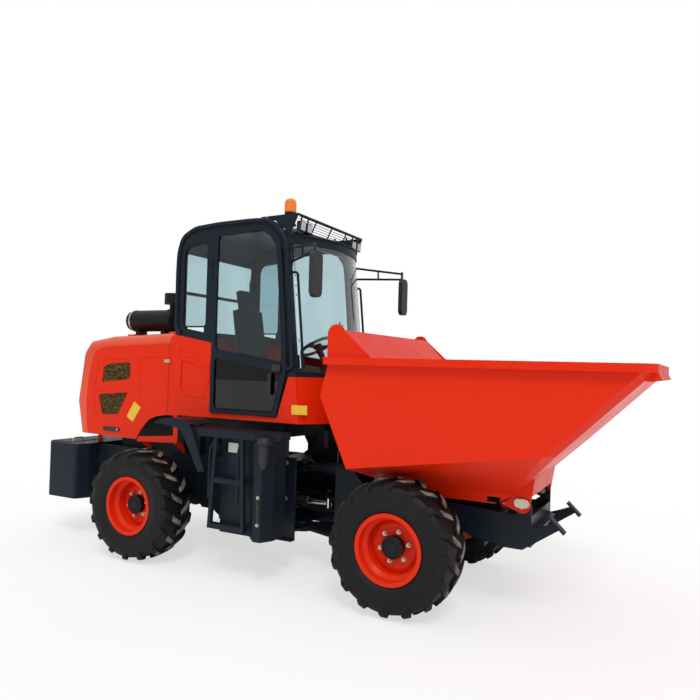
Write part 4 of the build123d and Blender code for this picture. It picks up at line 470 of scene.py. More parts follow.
# ---- bodywork
# Pressed steel bonnet and lower cab in orange-red enamel; tanks, steps and grab rails of bent
# steel in slate. The screens are safety glass, and seat base and wiper are moulded plastic.
paint(red, "cab_lower", "bonnet")
paint(slate, "fuel_tank", "hydraulic_tank", "step_right", "step_left", "grab_rails")
paint(black, "air_cleaner")


def glass(name, colour, scale, detail, smear, ior):
    """Toughened glass with a body tint, faintly smeared."""
    made, tree = blank(name)
    skin(tree, linear(colour), ranged(tree, noise(tree, scale, detail), 0.0, smear),
         IOR=ior, Transmission_Weight=1.0)
    return made


# Clear laminated glass with a trace of green.
pane = glass("tinted_safety_glass", "#f2fafa", 2.5, 5.0, 0.015, 1.5)
paint(pane, "windshield", "rear_window")

plastic, tree = blank("grained_black_polypropylene")
# Moulded polypropylene: near black, low sheen, with a leather grain about 2 mm across.
grain = node(tree, "ShaderNodeTexVoronoi", {"Vector": place(tree), "Scale": 500.0})
skin(tree, mixed(tree, noise(tree, 9.0), "#18191b", "#26272a"), 0.55,
     Normal=bumped(tree, grain.outputs["Distance"], 0.3, 0.0005))
paint(plastic, "seat_base", "steering_column", "mirror_right", "mirror_left", "wiper")

# ---- bolts and nuts
# Zinc plated hexagon bolts hold the fork column and the gauge on the tank, and black ones the
# roof guard. Each sits at a marked point and faces outwards.
HANDS = (("right", -1), ("left", 1))

# geometry nodes: one bolt on every point of a mesh, turned by the group's rotation
bolt_group, given, bolt_keys = group(
    "bolts on points", Bolt="Object", Turn="Rotation", Finish="Material")
piece = node(bolt_group, "GeometryNodeObjectInfo", {"Object": given["Bolt"]})
copies = node(bolt_group, "GeometryNodeInstanceOnPoints", {
    "Points": given["Geometry"], "Instance": piece.outputs["Geometry"], "Rotation": given["Turn"]})
realised(bolt_group, given, copies.outputs[0])


def bolts(name, points, side, across, finish=zinc, slot="pin_steel", body="chassis"):
    """Bolt heads of one size at points in metres, all facing out to one side."""
    head = hexagon("head", across, across * 0.65, across * 1.5)
    at = bpy.data.meshes.new("points")
    at.from_pydata(points, [], [])
    thing = placed("points", at)
    grow(thing, bolt_group, bolt_keys,
         Bolt=head, Turn=(-side * pi / 2, 0.0, 0.0), Finish=finish)
    fitted(settle(thing, name, finish), slot, body=body)
    bpy.data.objects.remove(head)


for hand, side in HANDS:
    bolts(f"column_bolts_{hand}", [(-0.066, side * 0.420, 1.012), (-0.069, side * 0.420, 0.682)],
          side, 0.030)
    bolts(f"gauge_bolts_{hand}", [(0.026, side * 1.0, z) for z in (0.792, 0.558)], side, 0.022)
    bolts(f"guard_bolts_{hand}", [(x, side * 0.520, 3.302) for x in (-0.14, 0.0)],
          side, 0.016, black, "black_paint")


# ---- warning beacon
# A rotating beacon: a base and stem of moulded black plastic, and on it an amber polycarbonate
# dome with upright ribs.
def turned(name, profile, start, axis, finish, slot, steps=40, body="chassis"):
    """A piece turned from (along, radius) pairs about an axis that begins at start."""
    axis = Vector(axis).normalized()
    side = axis.orthogonal().normalized()
    other = axis.cross(side)
    points = []
    for k in range(steps):
        angle = 2 * pi * k / steps
        spoke = side * cos(angle) + other * sin(angle)
        points += [Vector(start) + axis * along + spoke * r for along, r in profile]
    n = len(profile)
    ends = [tuple(k * n for k in range(steps)), tuple(k * n + n - 1 for k in range(steps))]
    faces = quads(steps, n, closed=True, ring=False) + ends
    piece = settle(add_mesh("turned", points, faces), name, finish)
    smooth(piece, 35)
    return fitted(piece, slot, body=body)


amber, tree = blank("amber_polycarbonate")
# Amber lens: deep orange, lit a little from within, clouded in patches about 30 mm across.
skin(tree, mixed(tree, noise(tree, 30.0), "#f07a08", "#ff9a1f"), 0.18, IOR=1.58,
     Transmission_Weight=0.35, Emission_Color=linear("#f07a08"), Emission_Strength=0.12)
low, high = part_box("beacon")
foot = Vector(((low[0] + high[0]) / 2, (low[1] + high[1]) / 2, low[2]))
stem = turned("beacon_base", [(0.0, 0.058), (0.020, 0.058), (0.022, 0.020), (0.112, 0.020),
                              (0.114, 0.056), (0.132, 0.056)],
              foot, (0, 0, 1), plastic, "black_plastic")
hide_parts("beacon")
DOME = ((0.132, 0.0565), (0.150, 0.0575), (0.236, 0.0545),
        (0.254, 0.044), (0.264, 0.024), (0.268, 0.0))
SPOKES, RIB = 88, 0.0012  # every second spoke is a rib, so much proud of the dome
points = []
for z, r in DOME:
    for k in range(SPOKES):
        wide = r + (RIB if k % 2 and 0.13 < z < 0.24 else 0.0)
        angle = 2 * pi * k / SPOKES
        points.append(foot + Vector((wide * cos(angle), wide * sin(angle), z - 0.0004)))
dome = add_mesh("beacon_dome", points, quads(len(DOME), SPOKES) + [tuple(range(SPOKES))])
dome.data.materials.append(amber)
fitted(dome, "amber_plastic", "beacon")


# ---- mirror glass
# Back-silvered glass with rounded corners, clipped into each moulded head so that it faces the
# driver.
def prism(one, other):
    """A closed prism between two outlines."""
    n = len(one)
    ends = [tuple(range(n)), tuple(range(n, 2 * n))]
    return add_mesh("prism", one + other, ends + quads(2, n))


def plate(name, outline, origin, across, upward, thick, finish, slot, bevel=0.0015, body="chassis"):
    """A flat piece: an outline on the plane of two directions, thickened along their normal."""
    across, upward = Vector(across).normalized(), Vector(upward).normalized()
    low = [Vector(origin) + across * u + upward * v for u, v in outline]
    thing = prism(low, [p + across.cross(upward) * thick for p in low])
    if bevel:
        soften = thing.modifiers.new("soften", "BEVEL")
        soften.width, soften.segments = min(bevel, thick * 0.4), 2
    return fitted(settle(thing, name, finish), slot, body=body)


def rounded(width, tall, radius, steps=6):
    """Outline of a rounded rectangle about its middle."""
    u, v, spots = width / 2 - radius, tall / 2 - radius, []
    for sx, sy, start in ((1, 1, 0), (-1, 1, 90), (-1, -1, 180), (1, -1, 270)):
        for k in range(steps + 1):
            t = radians(start + 90 * k / steps)
            spots.append((sx * u + radius * cos(t), sy * v + radius * sin(t)))
    return spots


silver, tree = blank("silvered_mirror_glass")
# Back-silvered glass, its reflection softened a little by dust.
skin(tree, linear("#dfe4e6"), ranged(tree, noise(tree, 14.0, 5.0), 0.02, 0.12), Metallic=1.0)
for hand, side in HANDS:
    plate(f"mirror_glass_{hand}", rounded(0.130, 0.360, 0.052), (0.4735, side * 0.930, 2.705),
          (0, -1, 0), (0, 0, 1), 0.002, silver, "black_plastic", 0.0)

# ---- bonnet door fittings
# Each door is a pressed skin with vents backed by felt and expanded steel mesh, a paddle latch
# at the rear and a bright lock at the top front. One blank yellow film square is stuck on it.
VENTS = (
    ((-2.396, 1.692), (-2.376, 1.867), (-2.280, 1.904), (-2.005, 1.924),
     (-1.976, 1.911), (-1.974, 1.762), (-2.015, 1.733), (-2.270, 1.711)),
    ((-2.440, 1.553), (-2.400, 1.571), (-1.999, 1.605), (-2.138, 1.360), (-2.379, 1.346)),
)
PRESSINGS = (
    ((-2.500, 1.640), (-2.455, 1.915), (-2.380, 1.938), (-1.930, 1.968),
     (-1.888, 1.940), (-1.888, 1.690), (-1.930, 1.655)),
    ((-1.850, 1.965), (-1.470, 1.992), (-1.470, 1.590), (-1.822, 1.568)),
    ((-2.508, 1.580), (-2.480, 1.600), (-1.955, 1.640), (-1.925, 1.600),
     (-2.085, 1.322), (-2.420, 1.300), (-2.490, 1.380)),
)
DOOR_SKIN = (
    (-2.480, 2.050), (-2.549, 1.965), (-2.607, 1.720), (-2.625, 1.473), (-2.614, 1.262),
    (-2.590, 1.132), (-1.858, 1.122), (-1.790, 1.225), (-1.695, 1.325), (-1.600, 1.368),
    (-1.440, 1.396), (-1.440, 2.128), (-1.900, 2.106), (-2.322, 2.086), (-2.400, 2.076),
)
SQUARE = ((-1.900, 1.509), (-1.806, 1.452), (-1.914, 1.294), (-2.003, 1.347))


def eased(outline, radius, steps=5):
    """The outline with each corner turned into a curve that takes up to 45% of each side."""
    spots = []
    for k, corner in enumerate(outline):
        at = Vector(corner)
        back, ahead = Vector(outline[k - 1]) - at, Vector(outline[(k + 1) % len(outline)]) - at
        start = at + back.normalized() * min(radius, back.length * 0.45)
        end = at + ahead.normalized() * min(radius, ahead.length * 0.45)
        for step in range(steps + 1):
            t = step / steps
            spots.append(tuple(start * (1 - t) ** 2 + at * 2 * t * (1 - t) + end * t ** 2))
    return spots


def at_y(y, line):
    """A line of (x, z) at one Y level."""
    return [(x, y, z) for x, z in line]


def poly(curve, points, closed):
    """Adds one run of straight lines to a curve."""
    run = curve.splines.new("POLY")
    run.points.add(len(points) - 1)
    for spot, at in zip(run.points, points):
        spot.co = (*at, 1.0)
    run.use_cyclic_u = closed


def tube(name, points, radius, finish, slot, closed=False, body="chassis"):
    """A round bar or seal along straight runs."""
    line = bpy.data.curves.new("line", "CURVE")
    line.dimensions = "3D"
    line.bevel_depth, line.bevel_resolution, line.use_fill_caps = radius, 3, True
    poly(line, points, closed)
    piece = settle(placed("line", line), name, finish)
    smooth(piece)
    return fitted(piece, slot, body=body)


def sheet(name, outlines, y, thick, finish, slot, edge=0.0015, body="chassis"):
    """A panel in the plane of X and Z: outlines give its edge and holes, y its outer face."""
    flat = bpy.data.curves.new("flat", "CURVE")
    flat.dimensions, flat.fill_mode = "2D", "BOTH"
    flat.extrude, flat.offset = thick / 2 - edge, -edge
    flat.bevel_depth, flat.bevel_resolution = edge, 2
    for outline in outlines:
        poly(flat, [(x, z, 0.0) for x, z in outline], True)
    piece = settle(placed("flat", flat), name, finish)
    middle = y - copysign(thick / 2, y)
    piece.data.transform(Matrix.Translation((0, middle, 0)) @ Matrix.Rotation(pi / 2, 4, "X"))
    outwards(piece.data, 1e-5)
    return fitted(piece, slot, body=body)


def strand_runs(outline, pitch, slope):
    """The parts of a family of slanting lines that lie inside a convex outline."""
    runs = []
    low = min(z - slope * x for x, z in outline)
    high = max(z - slope * x for x, z in outline)
    for step in range(int((high - low) / pitch) + 1):
        level, hits = low + pitch * (step + 0.5), []
        for (x0, z0), (x1, z1) in zip(outline, outline[1:] + outline[:1]):
            a, b = z0 - slope * x0 - level, z1 - slope * x1 - level
            if a * b < 0:
                t = a / (a - b)
                hits.append((x0 + t * (x1 - x0), z0 + t * (z1 - z0)))
        if len(hits) == 2:
            runs.append(hits)
    return runs


PITCH, SLOPE, STRAND = 0.017, 0.75, 0.0016  # of the mesh: pitch, slope, half a strand's width


def expanded_mesh(name, outline, face, back, finish, body):
    """Flat strands that cross in diamonds inside an outline, between two Y levels."""
    points, faces = [], []
    for slope in (SLOPE, -SLOPE):
        for (x0, z0), (x1, z1) in strand_runs(outline, PITCH, slope):
            base = len(points)
            points += [(x, y, z) for y in (face, back) for x, z in (
                (x0, z0 - STRAND), (x0, z0 + STRAND), (x1, z1 + STRAND), (x1, z1 - STRAND))]
            faces += [tuple(base + k for k in quad) for quad in (
                (0, 1, 2, 3), (4, 7, 6, 5), (0, 4, 5, 1), (1, 5, 6, 2), (2, 6, 7, 3), (3, 7, 4, 0))]
    fitted(settle(add_mesh("strands", points, faces), name, finish), "black_paint", body=body)


yellow, tree = blank("yellow_vinyl_film")
# Self-adhesive vinyl: flat warm yellow, soft gloss, slightly mottled by the paint under it.
skin(tree, mixed(tree, noise(tree, 40.0, 3.0), "#e2b21e", "#efc43a"), 0.42)
felt, tree = blank("resin_bonded_felt")
# Sound-deadening felt glued inside the doors: tufts of ochre and brown about 30 mm across.
tuft = ranged(tree, noise(tree, 34.0, 6.0, 0.7), 0.0, 1.0, 0.42, 0.62)
skin(tree, mixed(tree, tuft, "#1c160c", "#a87d1c"), 0.9)
for hand, side in HANDS:
    body = f"bonnet_door_{hand}_body"
    skin_y, front_y = side * 0.5635, side * 0.568
    holes = [eased(outline, 0.022) for outline in VENTS]
    edge = eased(DOOR_SKIN, 0.020)
    sheet(f"door_skin_{hand}", [edge] + holes, skin_y, 0.003, red, "red_paint", 0.001, body=body)
    sheet(f"door_pressing_{hand}", [edge] + [eased(outline, 0.030) for outline in PRESSINGS],
          front_y, 0.0045, red, "red_paint", 0.002, body=body)
    for number, (outline, hole) in enumerate(zip(VENTS, holes)):
        sheet(f"vent_back_{hand}_{number}", [hole], side * 0.5603, 0.0006,
              felt, "black_paint", 0.0002, body=body)
        tube(f"vent_lip_{hand}_{number}", at_y(skin_y, hole), 0.0035,
             red, "red_paint", closed=True, body=body)
        expanded_mesh(f"vent_mesh_{hand}_{number}", outline, skin_y - side * 0.0008,
                      skin_y - side * 0.0026, black, body)
    plate(f"door_latch_{hand}", rounded(0.250, 0.044, 0.021), (-2.222, front_y, 1.200),
          (-side, 0, 0), (0, 0, 1), 0.010, plastic, "black_plastic", body=body)
    turned(f"latch_key_{hand}", [(0.0, 0.012), (0.012, 0.012), (0.014, 0.009)],
           (-2.130, front_y, 1.200), (0, side, 0), zinc, "pin_steel", 24, body=body)
    plate(f"door_lock_{hand}", rounded(0.080, 0.034, 0.012), (-1.455, front_y, 1.945),
          (-side, 0, 0), (0, 0, 1), 0.008, zinc, "pin_steel", body=body)
    sheet(f"yellow_square_{hand}", [eased(SQUARE, 0.006)], side * 0.5688, 0.0008,
          yellow, "amber_plastic", 0.0003, body=body)

# ---- cab frame and roof
# The cab's frame is tubular hoops and pressed posts, welded up and sprayed slate. Its openings
# are cut to the doors and panes, and a bent roof skin with a lid meets the bowed windscreen.
DOOR = ((-0.812, 3.208), (-0.513, 3.219), (-0.236, 3.230), (-0.131, 3.175), (-0.046, 3.058),
        (-0.021, 2.866), (0.036, 2.259), (0.057, 1.885), (-0.045, 1.459), (-0.814, 1.459))
QUARTER = ((-1.196, 2.290), (-1.196, 3.020), (-1.150, 3.085), (-0.900, 3.112), (-0.900, 2.290))
CROWN = ((-1.500, 2.900), (-1.272, 2.900), (-1.262, 3.045), (-1.212, 3.190), (-1.060, 3.262),
         (-0.758, 3.276), (-0.200, 3.270), (-0.090, 3.200), (0.000, 3.125), (0.700, 3.125),
         (0.700, 3.600), (-1.500, 3.600))


def across_cab(outline, start, end):
    """A prism between two Y levels from an outline of (x, z)."""
    return prism(at_y(start, outline), at_y(end, outline))


shell = nodes["cab_frame"].copy()
shell.data = nodes["cab_frame"].data.copy()
bpy.context.collection.objects.link(shell)
outwards(shell.data, 1e-5)
cutters = [across_cab(outline, side * 0.600, side * 0.720)
           for side in (-1, 1) for outline in (eased(DOOR, 0.030), eased(QUARTER, 0.040))]
cutters.append(across_cab(CROWN, -0.75, 0.75))
for cutter in cutters:
    cut = shell.modifiers.new("cut", "BOOLEAN")
    cut.operation, cut.solver, cut.object = "DIFFERENCE", "EXACT", cutter
fitted(settle(shell, "cab_shell", slate), "dark_paint", "cab_frame")
for cutter in cutters:
    bpy.data.objects.remove(cutter)

# the roof's side line, less the curves at its two ends, and the line of its underside
ROOF_HALF_W, ROOF_THICK = 0.655, 0.014
ridge = eased(((-1.274, 3.040), (-1.272, 3.060), (-1.262, 3.100), (-1.208, 3.196), (-1.060, 3.268),
               (-0.758, 3.284), (-0.200, 3.280), (-0.130, 3.262)), 0.050)[6:-6]
under = [(x + (ROOF_THICK if z < 3.2 else 0.004), z - ROOF_THICK) for x, z in ridge]
roof = across_cab(ridge + under[::-1], -ROOF_HALF_W, ROOF_HALF_W)
fitted(settle(roof, "roof_skin", slate), "dark_paint")

# the windscreen: its nose at the sill, the radius of its bow, how far it leans back per metre
SCREEN_NOSE, SCREEN_R, RAKE, SILL = 0.4, 0.97, 0.103, 1.88
BOWS, TOP, EAVES_X, EAVES_Z = 24, 3.125, -0.135, 3.262
points = []
for k in range(BOWS + 1):
    y = (2 * k / BOWS - 1) * ROOF_HALF_W
    bow = SCREEN_NOSE - SCREEN_R - RAKE * (TOP - SILL) + sqrt(SCREEN_R**2 - y**2) + 0.012
    points += [(EAVES_X, y, EAVES_Z), (bow, y, TOP + 0.006),
               (bow, y, TOP + 0.006 - ROOF_THICK), (EAVES_X, y, EAVES_Z - ROOF_THICK)]
faces = quads(BOWS + 1, 4) + [(0, 1, 2, 3), tuple(4 * BOWS + j for j in (3, 2, 1, 0))]
fitted(settle(add_mesh("lid", points, faces), "roof_lid", slate), "dark_paint")
LOOP_R = 0.0165
LOOP = [(-0.383 + LOOP_R * cos(pi * j / 8), 3.310 + LOOP_R * sin(pi * j / 8)) for j in range(16)]
for hand, side in HANDS:
    tube(f"lifting_ring_{hand}", at_y(side * 0.503, LOOP), 0.006, zinc, "pin_steel", closed=True)

# ---- roof visor
# A louvred sun and branch guard leans out over the windscreen: ten pressed slats between two
# round rails, stiffened by struts and carried by a gusset bolted to each side of the roof.
GUSSET = ((-0.290, 3.312), (-0.262, 3.288), (-0.115, 3.262), (-0.072, 3.222), (0.000, 3.088),
          (0.024, 3.088), (0.128, 3.300), (0.128, 3.318))
for hand, side in HANDS:
    sheet(f"visor_gusset_{hand}", [eased(GUSSET, 0.010)], side * 0.646, 0.006, slate, "dark_paint")
    bolts(f"visor_bolts_{hand}", [(-0.215, side * 0.646, 3.299), (-0.018, side * 0.646, 3.178)],
          side, 0.011)
SLATS, SLAT_HALF_W, SLAT_HALF_D = 10, 0.600, 0.007
SLAT = [(SLAT_HALF_W * u, SLAT_HALF_D * v) for u, v in CORNERS]
for k in range(SLATS):
    t = (k + 0.5) / SLATS
    slat = plate(f"visor_slat_{k}", SLAT, (0.116 - 0.100 * t, 0, 3.306 - 0.206 * t), (0, 1, 0),
                 (-1, 0, 0.12), 0.003, slate, "dark_paint", 0.001)
    if k == 0:
        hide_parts("roof_guard")
for number, (x, z) in enumerate(((0.122, 3.308), (0.014, 3.094))):
    tube(f"visor_rail_{number}", [(x, -0.640, z), (x, 0.640, z)], 0.011, slate, "dark_paint")
for number, y in enumerate((-0.300, 0.0, 0.300)):
    tube(f"visor_strut_{number}", [(0.010, y, 3.094), (0.116, y, 3.306)], 0.007,
         slate, "dark_paint")

# ---- work lamps
# Four square work lamps, two at each end of the visor: a moulded case that hangs on a short
# stem and tips down a little, closed by a fluted lens of pressed glass.
def wave(tree, scale, way):
    """Bands fixed to the object, 0.314 / scale metres apart along one axis."""
    return node(tree, "ShaderNodeTexWave", {"Vector": place(tree), "Scale": scale},
                bands_direction=way).outputs["Fac"]


lens_glass, tree = blank("fluted_lamp_lens")
# Pressed glass over a bright reflector: pale, with upright flutes 12 mm apart whose glints are
# painted into the colour as pale and grey bands.
flute = wave(tree, 26.0, "Y")
skin(tree, mixed(tree, flute, "#aeb6bc", "#eef2f4"), 0.16, Metallic=0.6,
     Normal=bumped(tree, flute, 0.5, 0.002))
LAMP_UP = (0.09, 0, 1)
for number, y in enumerate((-0.565, -0.450, 0.450, 0.565)):
    case = plate(f"lamp_case_{number}", rounded(0.092, 0.092, 0.012), (0.088, y, 3.212), (0, 1, 0),
                 LAMP_UP, 0.046, plastic, "black_plastic", 0.006)
    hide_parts("work_lights")
    plate(f"lamp_lens_{number}", rounded(0.074, 0.074, 0.008), (0.133, y, 3.208), (0, 1, 0),
          LAMP_UP, 0.003, lens_glass, "lamp_plastic")
    tube(f"lamp_stem_{number}", [(0.108, y, 3.258), (0.114, y, 3.300)], 0.008,
         plastic, "black_plastic")

# ---- doors and side panes
# Each door is a folded steel frame glazed above and below its waist rail; the panes sit in black
# rubber, and the catch and pull are moulded plastic. A tubular hoop frames each side of the cab.
light_tint = glass("blue_tinted_glass", "#b4cdd3", 3.0, 4.0, 0.012, 1.45)
# The lower panes' glass is the upper glass made dark: painted shade of the cab floor seen behind
# it.
shaded_glass_tint = glass("glass_darkened_as_painted_shade", "#26302f", 3.0, 4.0, 0.012, 1.45)
UPPER = ((-0.768, 2.066), (-0.768, 3.165), (-0.500, 3.176), (-0.255, 3.186), (-0.166, 3.142),
         (-0.090, 3.040), (-0.066, 2.860), (-0.010, 2.255), (0.010, 1.955))
LOWER = ((-0.768, 1.988), (0.005, 1.868), (-0.004, 1.835), (-0.080, 1.503), (-0.768, 1.503))
HOOP = ((-1.266, 2.250), (-1.272, 2.845), (-1.264, 3.040), (-1.214, 3.185), (-1.060, 3.262),
        (-0.758, 3.282), (-0.365, 3.285), (-0.200, 3.276), (-0.080, 3.205), (0.012, 3.075),
        (0.036, 2.870), (0.095, 2.250), (0.118, 1.890))


def scaled(outline, middle, ratio):
    """The outline made larger or smaller about a point."""
    return [tuple(middle + (Vector(spot) - middle) * ratio) for spot in outline]


for hand, side in HANDS:
    body, face = f"cab_door_{hand}", side * 0.668
    outlines = [eased(DOOR, 0.030), eased(UPPER, 0.040), eased(LOWER, 0.040)]
    leaf = sheet(f"door_frame_{hand}", outlines, face, 0.036, slate, "dark_paint", 0.005, body=body)
    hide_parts(f"door_{hand}")
    for label, outline, tint in (("upper", UPPER, light_tint), ("lower", LOWER, shaded_glass_tint)):
        middle = sum((Vector(spot) for spot in outline), Vector((0, 0))) / len(outline)
        wider = eased(scaled(outline, middle, 1.03), 0.040)
        glazing = sheet(f"door_pane_{label}_{hand}", [wider], face - side * 0.014, 0.006,
                        tint, "glass", 0.0008, body=body)
        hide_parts(f"door_glass_{hand}")
        tube(f"pane_seal_{label}_{hand}", at_y(face - side * 0.002, eased(outline, 0.040)),
             0.006, rubber, "tyre_rubber", closed=True, body=body)
    tube(f"cab_hoop_{hand}", at_y(side * 0.655, eased(HOOP, 0.060)), 0.021,
         slate, "dark_paint")
    corner = eased(QUARTER, 0.040)
    quarter = sheet(f"quarter_pane_{hand}", [corner], side * 0.640, 0.006,
                    light_tint, "glass", 0.0008)
    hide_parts("quarter_windows")
    tube(f"quarter_seal_{hand}", at_y(side * 0.646, corner), 0.008,
         rubber, "tyre_rubber", closed=True)
    plate(f"door_catch_{hand}", rounded(0.090, 0.060, 0.012), (-0.040, side * 0.670, 1.905),
          (-side, 0, 0), (0, 0, 1), 0.022, plastic, "black_plastic", 0.003, body=body)
    plate(f"door_pull_{hand}", rounded(0.030, 0.200, 0.012), (-0.110, side * 0.672, 1.760),
          (-side, 0, 0), (0, 0, 1), 0.020, plastic, "black_plastic", 0.003, body=body)

# ---- lower cab panels
# The lower cab's sheet steel has a pressed five-sided rim behind each door, and a blank piece of
# yellow film is stuck on in front of it.
EMBOSS = ((-1.231, 2.005), (-1.000, 1.962), (-0.872, 1.842), (-0.888, 1.592), (-1.231, 1.612))
MIDDLE, INNER = Vector((-1.05, 1.79)), 0.80
FILM = ((0.116, 1.577), (0.280, 1.580), (0.280, 1.496), (0.116, 1.493))
for hand, side in HANDS:
    rim = [eased(EMBOSS, 0.045), eased(scaled(EMBOSS, MIDDLE, INNER), 0.045)]
    sheet(f"pressed_rim_{hand}", rim, side * 0.6535, 0.005, red, "red_paint", 0.0022)
    sheet(f"yellow_film_{hand}", [eased(FILM, 0.006)], side * 0.6515, 0.0010,
          yellow, "amber_plastic", 0.0003)

# ---- mudguards
# A rolled sheet steel wing stands over the front of each rear wheel, on a flat leg that comes
# down beside the tyre and is stiffened by a round bar welded along it.
WING = [(-1.200, 1.366), (-1.120, 1.398), (-1.020, 1.414),
        (-0.900, 1.416), (-0.820, 1.400), (-0.765, 1.366)]
WING_THICK = 0.006
LEG = ((-1.196, 1.350), (-1.100, 1.404), (-0.900, 1.413), (-0.790, 1.390), (-0.727, 1.311),
       (-0.579, 0.960), (-0.645, 0.943), (-0.845, 1.290), (-0.921, 1.332), (-1.080, 1.352))
BAR_LINE = ((-0.772, 1.372), (-0.727, 1.311), (-0.579, 0.960))
for hand, side in HANDS:
    ring = WING + [(x, z - WING_THICK) for x, z in reversed(WING)]
    wing = settle(across_cab(ring, side * 0.700, side * 1.000), f"wing_{hand}", slate)
    fitted(wing, "dark_paint", f"fender_{hand}")
    sheet(f"wing_leg_{hand}", [eased(LEG, 0.020)], side * 1.001, 0.007, slate, "dark_paint", 0.002)
    tube(f"wing_bar_{hand}", at_y(side * 1.001, BAR_LINE), 0.007, slate, "dark_paint")

# ---- ladder rails
# Two bent round bars of steel run up the outside of each ladder and turn in over the deck, where
# they are welded on. They are sprayed slate with it.
LADDER = (((-0.548, 0.700), (-0.546, 1.134), (-0.529, 1.197), (-0.473, 1.240)),
          ((-0.228, 0.700), (-0.228, 1.160), (-0.210, 1.222), (-0.160, 1.244)))
for hand, side in HANDS:
    for number, line in enumerate(LADDER):
        tube(f"ladder_rail_{hand}_{number}", at_y(side * 0.958, eased(line, 0.030)[3:-3]),
             0.014, slate, "dark_paint")

# ---- mirror arms
# Each mirror hangs on an upright round bar, held by two arms from the cab's front post that are
# tied together half way. All are black enamelled steel, welded up.
POST_X, ARM_X, ARM_Y = 0.150, 0.480, 0.930
for hand, side in HANDS:
    arms = []
    for low, out in ((2.880, 2.900), (3.000, 2.960)):
        post = POST_X - RAKE * (low - SILL) + 0.010
        arms.append(((post, side * 0.628, low), (ARM_X, side * ARM_Y, out)))
        tube(f"mirror_arm_{hand}_{low:.2f}", arms[-1], 0.0115, black, "black_paint")
    middle = [tuple((a + b) / 2 for a, b in zip(*arm)) for arm in arms]
    tube(f"mirror_tie_{hand}", middle, 0.009, black, "black_paint")
    tube(f"mirror_post_{hand}", [(ARM_X, side * ARM_Y, z) for z in (2.980, 2.560)], 0.0125,
         black, "black_paint")

# ---- air cleaner bands
# Two steel straps go round the air cleaner and clamp it on its feet: the rear one zinc plated,
# the front one black.
for number, (x, finish) in enumerate(((-2.430, zinc), (-1.900, black))):
    turned(f"cleaner_band_{number}", [(0.0, 0.060), (0.0, 0.1262), (0.020, 0.1262), (0.020, 0.060)],
           (x, -0.060, 2.400), (1, 0, 0), finish, "pin_steel")

# ---- cab rails and pivot plates
# Folded rails carry the cab on the rear frame. Each skip pivot pin is held by a bright lock plate
# with two small bolts.
RAIL = ((-1.240, 1.406), (0.290, 1.406), (0.200, 1.300), (-0.100, 1.250), (-0.420, 1.240),
        (-1.100, 1.240), (-1.180, 1.300))
PIVOT_X, PIVOT_Z = 2.129, 0.905
for hand, side in HANDS:
    sheet(f"cab_rail_{hand}", [eased(RAIL, 0.040)], side * 0.400, 0.008,
          black, "black_paint", 0.002)
    lock = [(PIVOT_X + x, PIVOT_Z + z) for x, z in rounded(0.120, 0.070, 0.034)]
    sheet(f"pivot_lock_{hand}", [lock], side * 0.442, 0.008, zinc, "pin_steel", 0.002, body="front")
    pair = [(PIVOT_X + x, side * 0.442, PIVOT_Z) for x in (-0.035, 0.035)]
    bolts(f"pivot_lock_bolts_{hand}", pair, side, 0.008, body="front")

# ---- tank fittings
# A filler neck stands proud of each tank and ends in a black screw cap on the deck's edge; a
# sight gauge runs down the outer face, and a blank plate is riveted behind the ladder.
white, tree = blank("white_anodised_plate")
# Thin aluminium plate, anodised pale grey-white, in a mottle a few millimetres across.
skin(tree, mixed(tree, noise(tree, 220.0), "#c9cac4", "#e3e3dc"), 0.45, Metallic=0.2)
NECK = ((0.0, 0.020), (0.05, 0.045), (0.205, 0.045), (0.208, 0.052), (0.216, 0.052))
FILLER_CAP = ((0.0, 0.056), (0.006, 0.064), (0.012, 0.064), (0.014, 0.060), (0.044, 0.060),
              (0.056, 0.052), (0.062, 0.034))
PLATE_X, PLATE_Z = -0.352, 1.178
RIVETS = [(PLATE_X + x, PLATE_Z + z) for x in (-0.048, 0.048) for z in (-0.036, 0.036)]
for hand, side in HANDS:
    turned(f"filler_neck_{hand}", NECK, (0.060, side * 0.980, 1.030), (0, 0, 1),
           plastic, "black_plastic")
    turned(f"filler_cap_{hand}", FILLER_CAP, (0.060, side * 0.980, 1.2465), (0, 0, 1),
           plastic, "black_plastic")
    tube(f"sight_gauge_{hand}", [(0.026, side * 1.006, z) for z in (0.775, 0.575)], 0.010,
         pane, "glass")
    plate(f"tank_plate_{hand}", rounded(0.110, 0.085, 0.004), (PLATE_X, side * 0.8702, PLATE_Z),
          (-side, 0, 0), (0, 0, 1), 0.001, white, "lamp_plastic", 0.0)
    bolts(f"plate_rivets_{hand}", at_y(side * 0.8712, RIVETS), side, 0.005)

# ---- counterweight fittings
# A bent round-bar handle lifts the locker's lid; a short zinc plated chain hangs from the
# counterweight's front face and ends in a padlock with a lacquered body.
lacquer = enamel("red_lacquered_padlock", "#8d1420", "#5a2424", 0.30)
HANDLE = ((-0.600, 1.017), (-0.600, 1.052), (-0.588, 1.066),
          (-0.482, 1.066), (-0.470, 1.052), (-0.470, 1.017))
tube("lid_handle", [(-2.772, y, z) for y, z in HANDLE], 0.007, zinc, "pin_steel")
LINKS, LINK_PITCH, LINK_HALF_W, LINK_HALF_H = 6, 0.022, 0.007, 0.016
for k in range(LINKS):
    ring = []
    for t in [2 * pi * j / 14 for j in range(14)]:
        wide, tall = LINK_HALF_W * cos(t), LINK_HALF_H * sin(t)
        ring.append((-2.548 + (wide if k % 2 else 0.0), -0.330 + (0.0 if k % 2 else wide),
                     0.985 - LINK_PITCH * k + tall))
    tube(f"chain_link_{k}", ring, 0.0025, zinc, "pin_steel", closed=True)
plate("padlock_body", rounded(0.042, 0.040, 0.008), (-2.556, -0.330, 0.815),
      (0, 1, 0), (0, 0, 1), 0.018, lacquer, "red_paint", 0.003)
SHACKLE = ((-0.343, 0.832), (-0.343, 0.856), (-0.336, 0.866),
           (-0.324, 0.866), (-0.317, 0.856), (-0.317, 0.832))
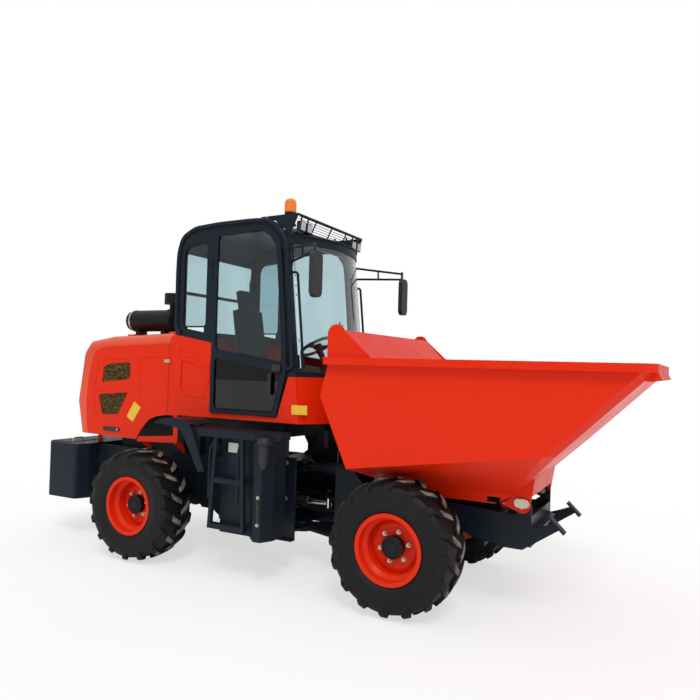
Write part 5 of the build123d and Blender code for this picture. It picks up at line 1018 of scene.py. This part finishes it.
tube("padlock_shackle", [(-2.547, y, z) for y, z in SHACKLE], 0.0035, zinc, "pin_steel")

# ---- seat
# Foam cushion and backrest covered in black woven polyester: a rounded pad, puffed up by the
# pressure of the foam but held to 10 mm of its board's shape.
weave, tree = blank("woven_polyester_cover")
# Plain weave with threads 6 mm apart, coarser than real so that it shows: matt, soft grey light.
cross = node(tree, "ShaderNodeMath", {0: wave(tree, 52.0, "Y"), 1: wave(tree, 52.0, "Z")},
             operation="MULTIPLY").outputs[0]
skin(tree, mixed(tree, cross, "#1b1c1f", "#3a3c40"), 0.9, Sheen_Weight=0.2,
     Normal=bumped(tree, cross, 0.4, 0.001))
SHRINK, VOXEL, PUFF, STEPS = (0.93, 0.95, 0.95, 1), 0.012, 0.010, 16
for name in ("seat_cushion", "seat_back"):
    mesh = nodes[name].data.copy()
    mesh.transform(nodes[name].matrix_world)
    pad = placed("pad", mesh)
    middle = sum((Vector(v.co) for v in mesh.vertices), Vector()) / len(mesh.vertices)
    away = Matrix.Translation(-middle)
    mesh.transform(away.inverted() @ Matrix.Diagonal(SHRINK) @ away)
    grid = pad.modifiers.new("grid", "REMESH")
    grid.mode, grid.voxel_size = "VOXEL", VOXEL
    pad = settle(pad, "pad", weave)
    cloth = pad.modifiers.new("cloth", "CLOTH")
    foam = cloth.settings
    foam.use_pressure, foam.uniform_pressure_force = True, 4.0
    foam.effector_weights.gravity = 0.0
    rest = [v.co.copy() for v in pad.data.vertices]
    for step in range(1, STEPS):
        scene.frame_set(step)
    puffed = pad.evaluated_get(bpy.context.evaluated_depsgraph_get())
    shape = [v.co.copy() for v in puffed.data.vertices]
    pad.modifiers.remove(cloth)
    scene.frame_set(1)
    for v, old, new in zip(pad.data.vertices, rest, shape):
        move = new - old
        v.co = old + (move * (PUFF / move.length) if move.length > PUFF else move)
    finer = pad.modifiers.new("finer", "SUBSURF")
    finer.levels = finer.render_levels = 1
    pad = settle(pad, name + "_cover", weave)
    smooth(pad)
    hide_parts(name)
    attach(pad, "chassis")
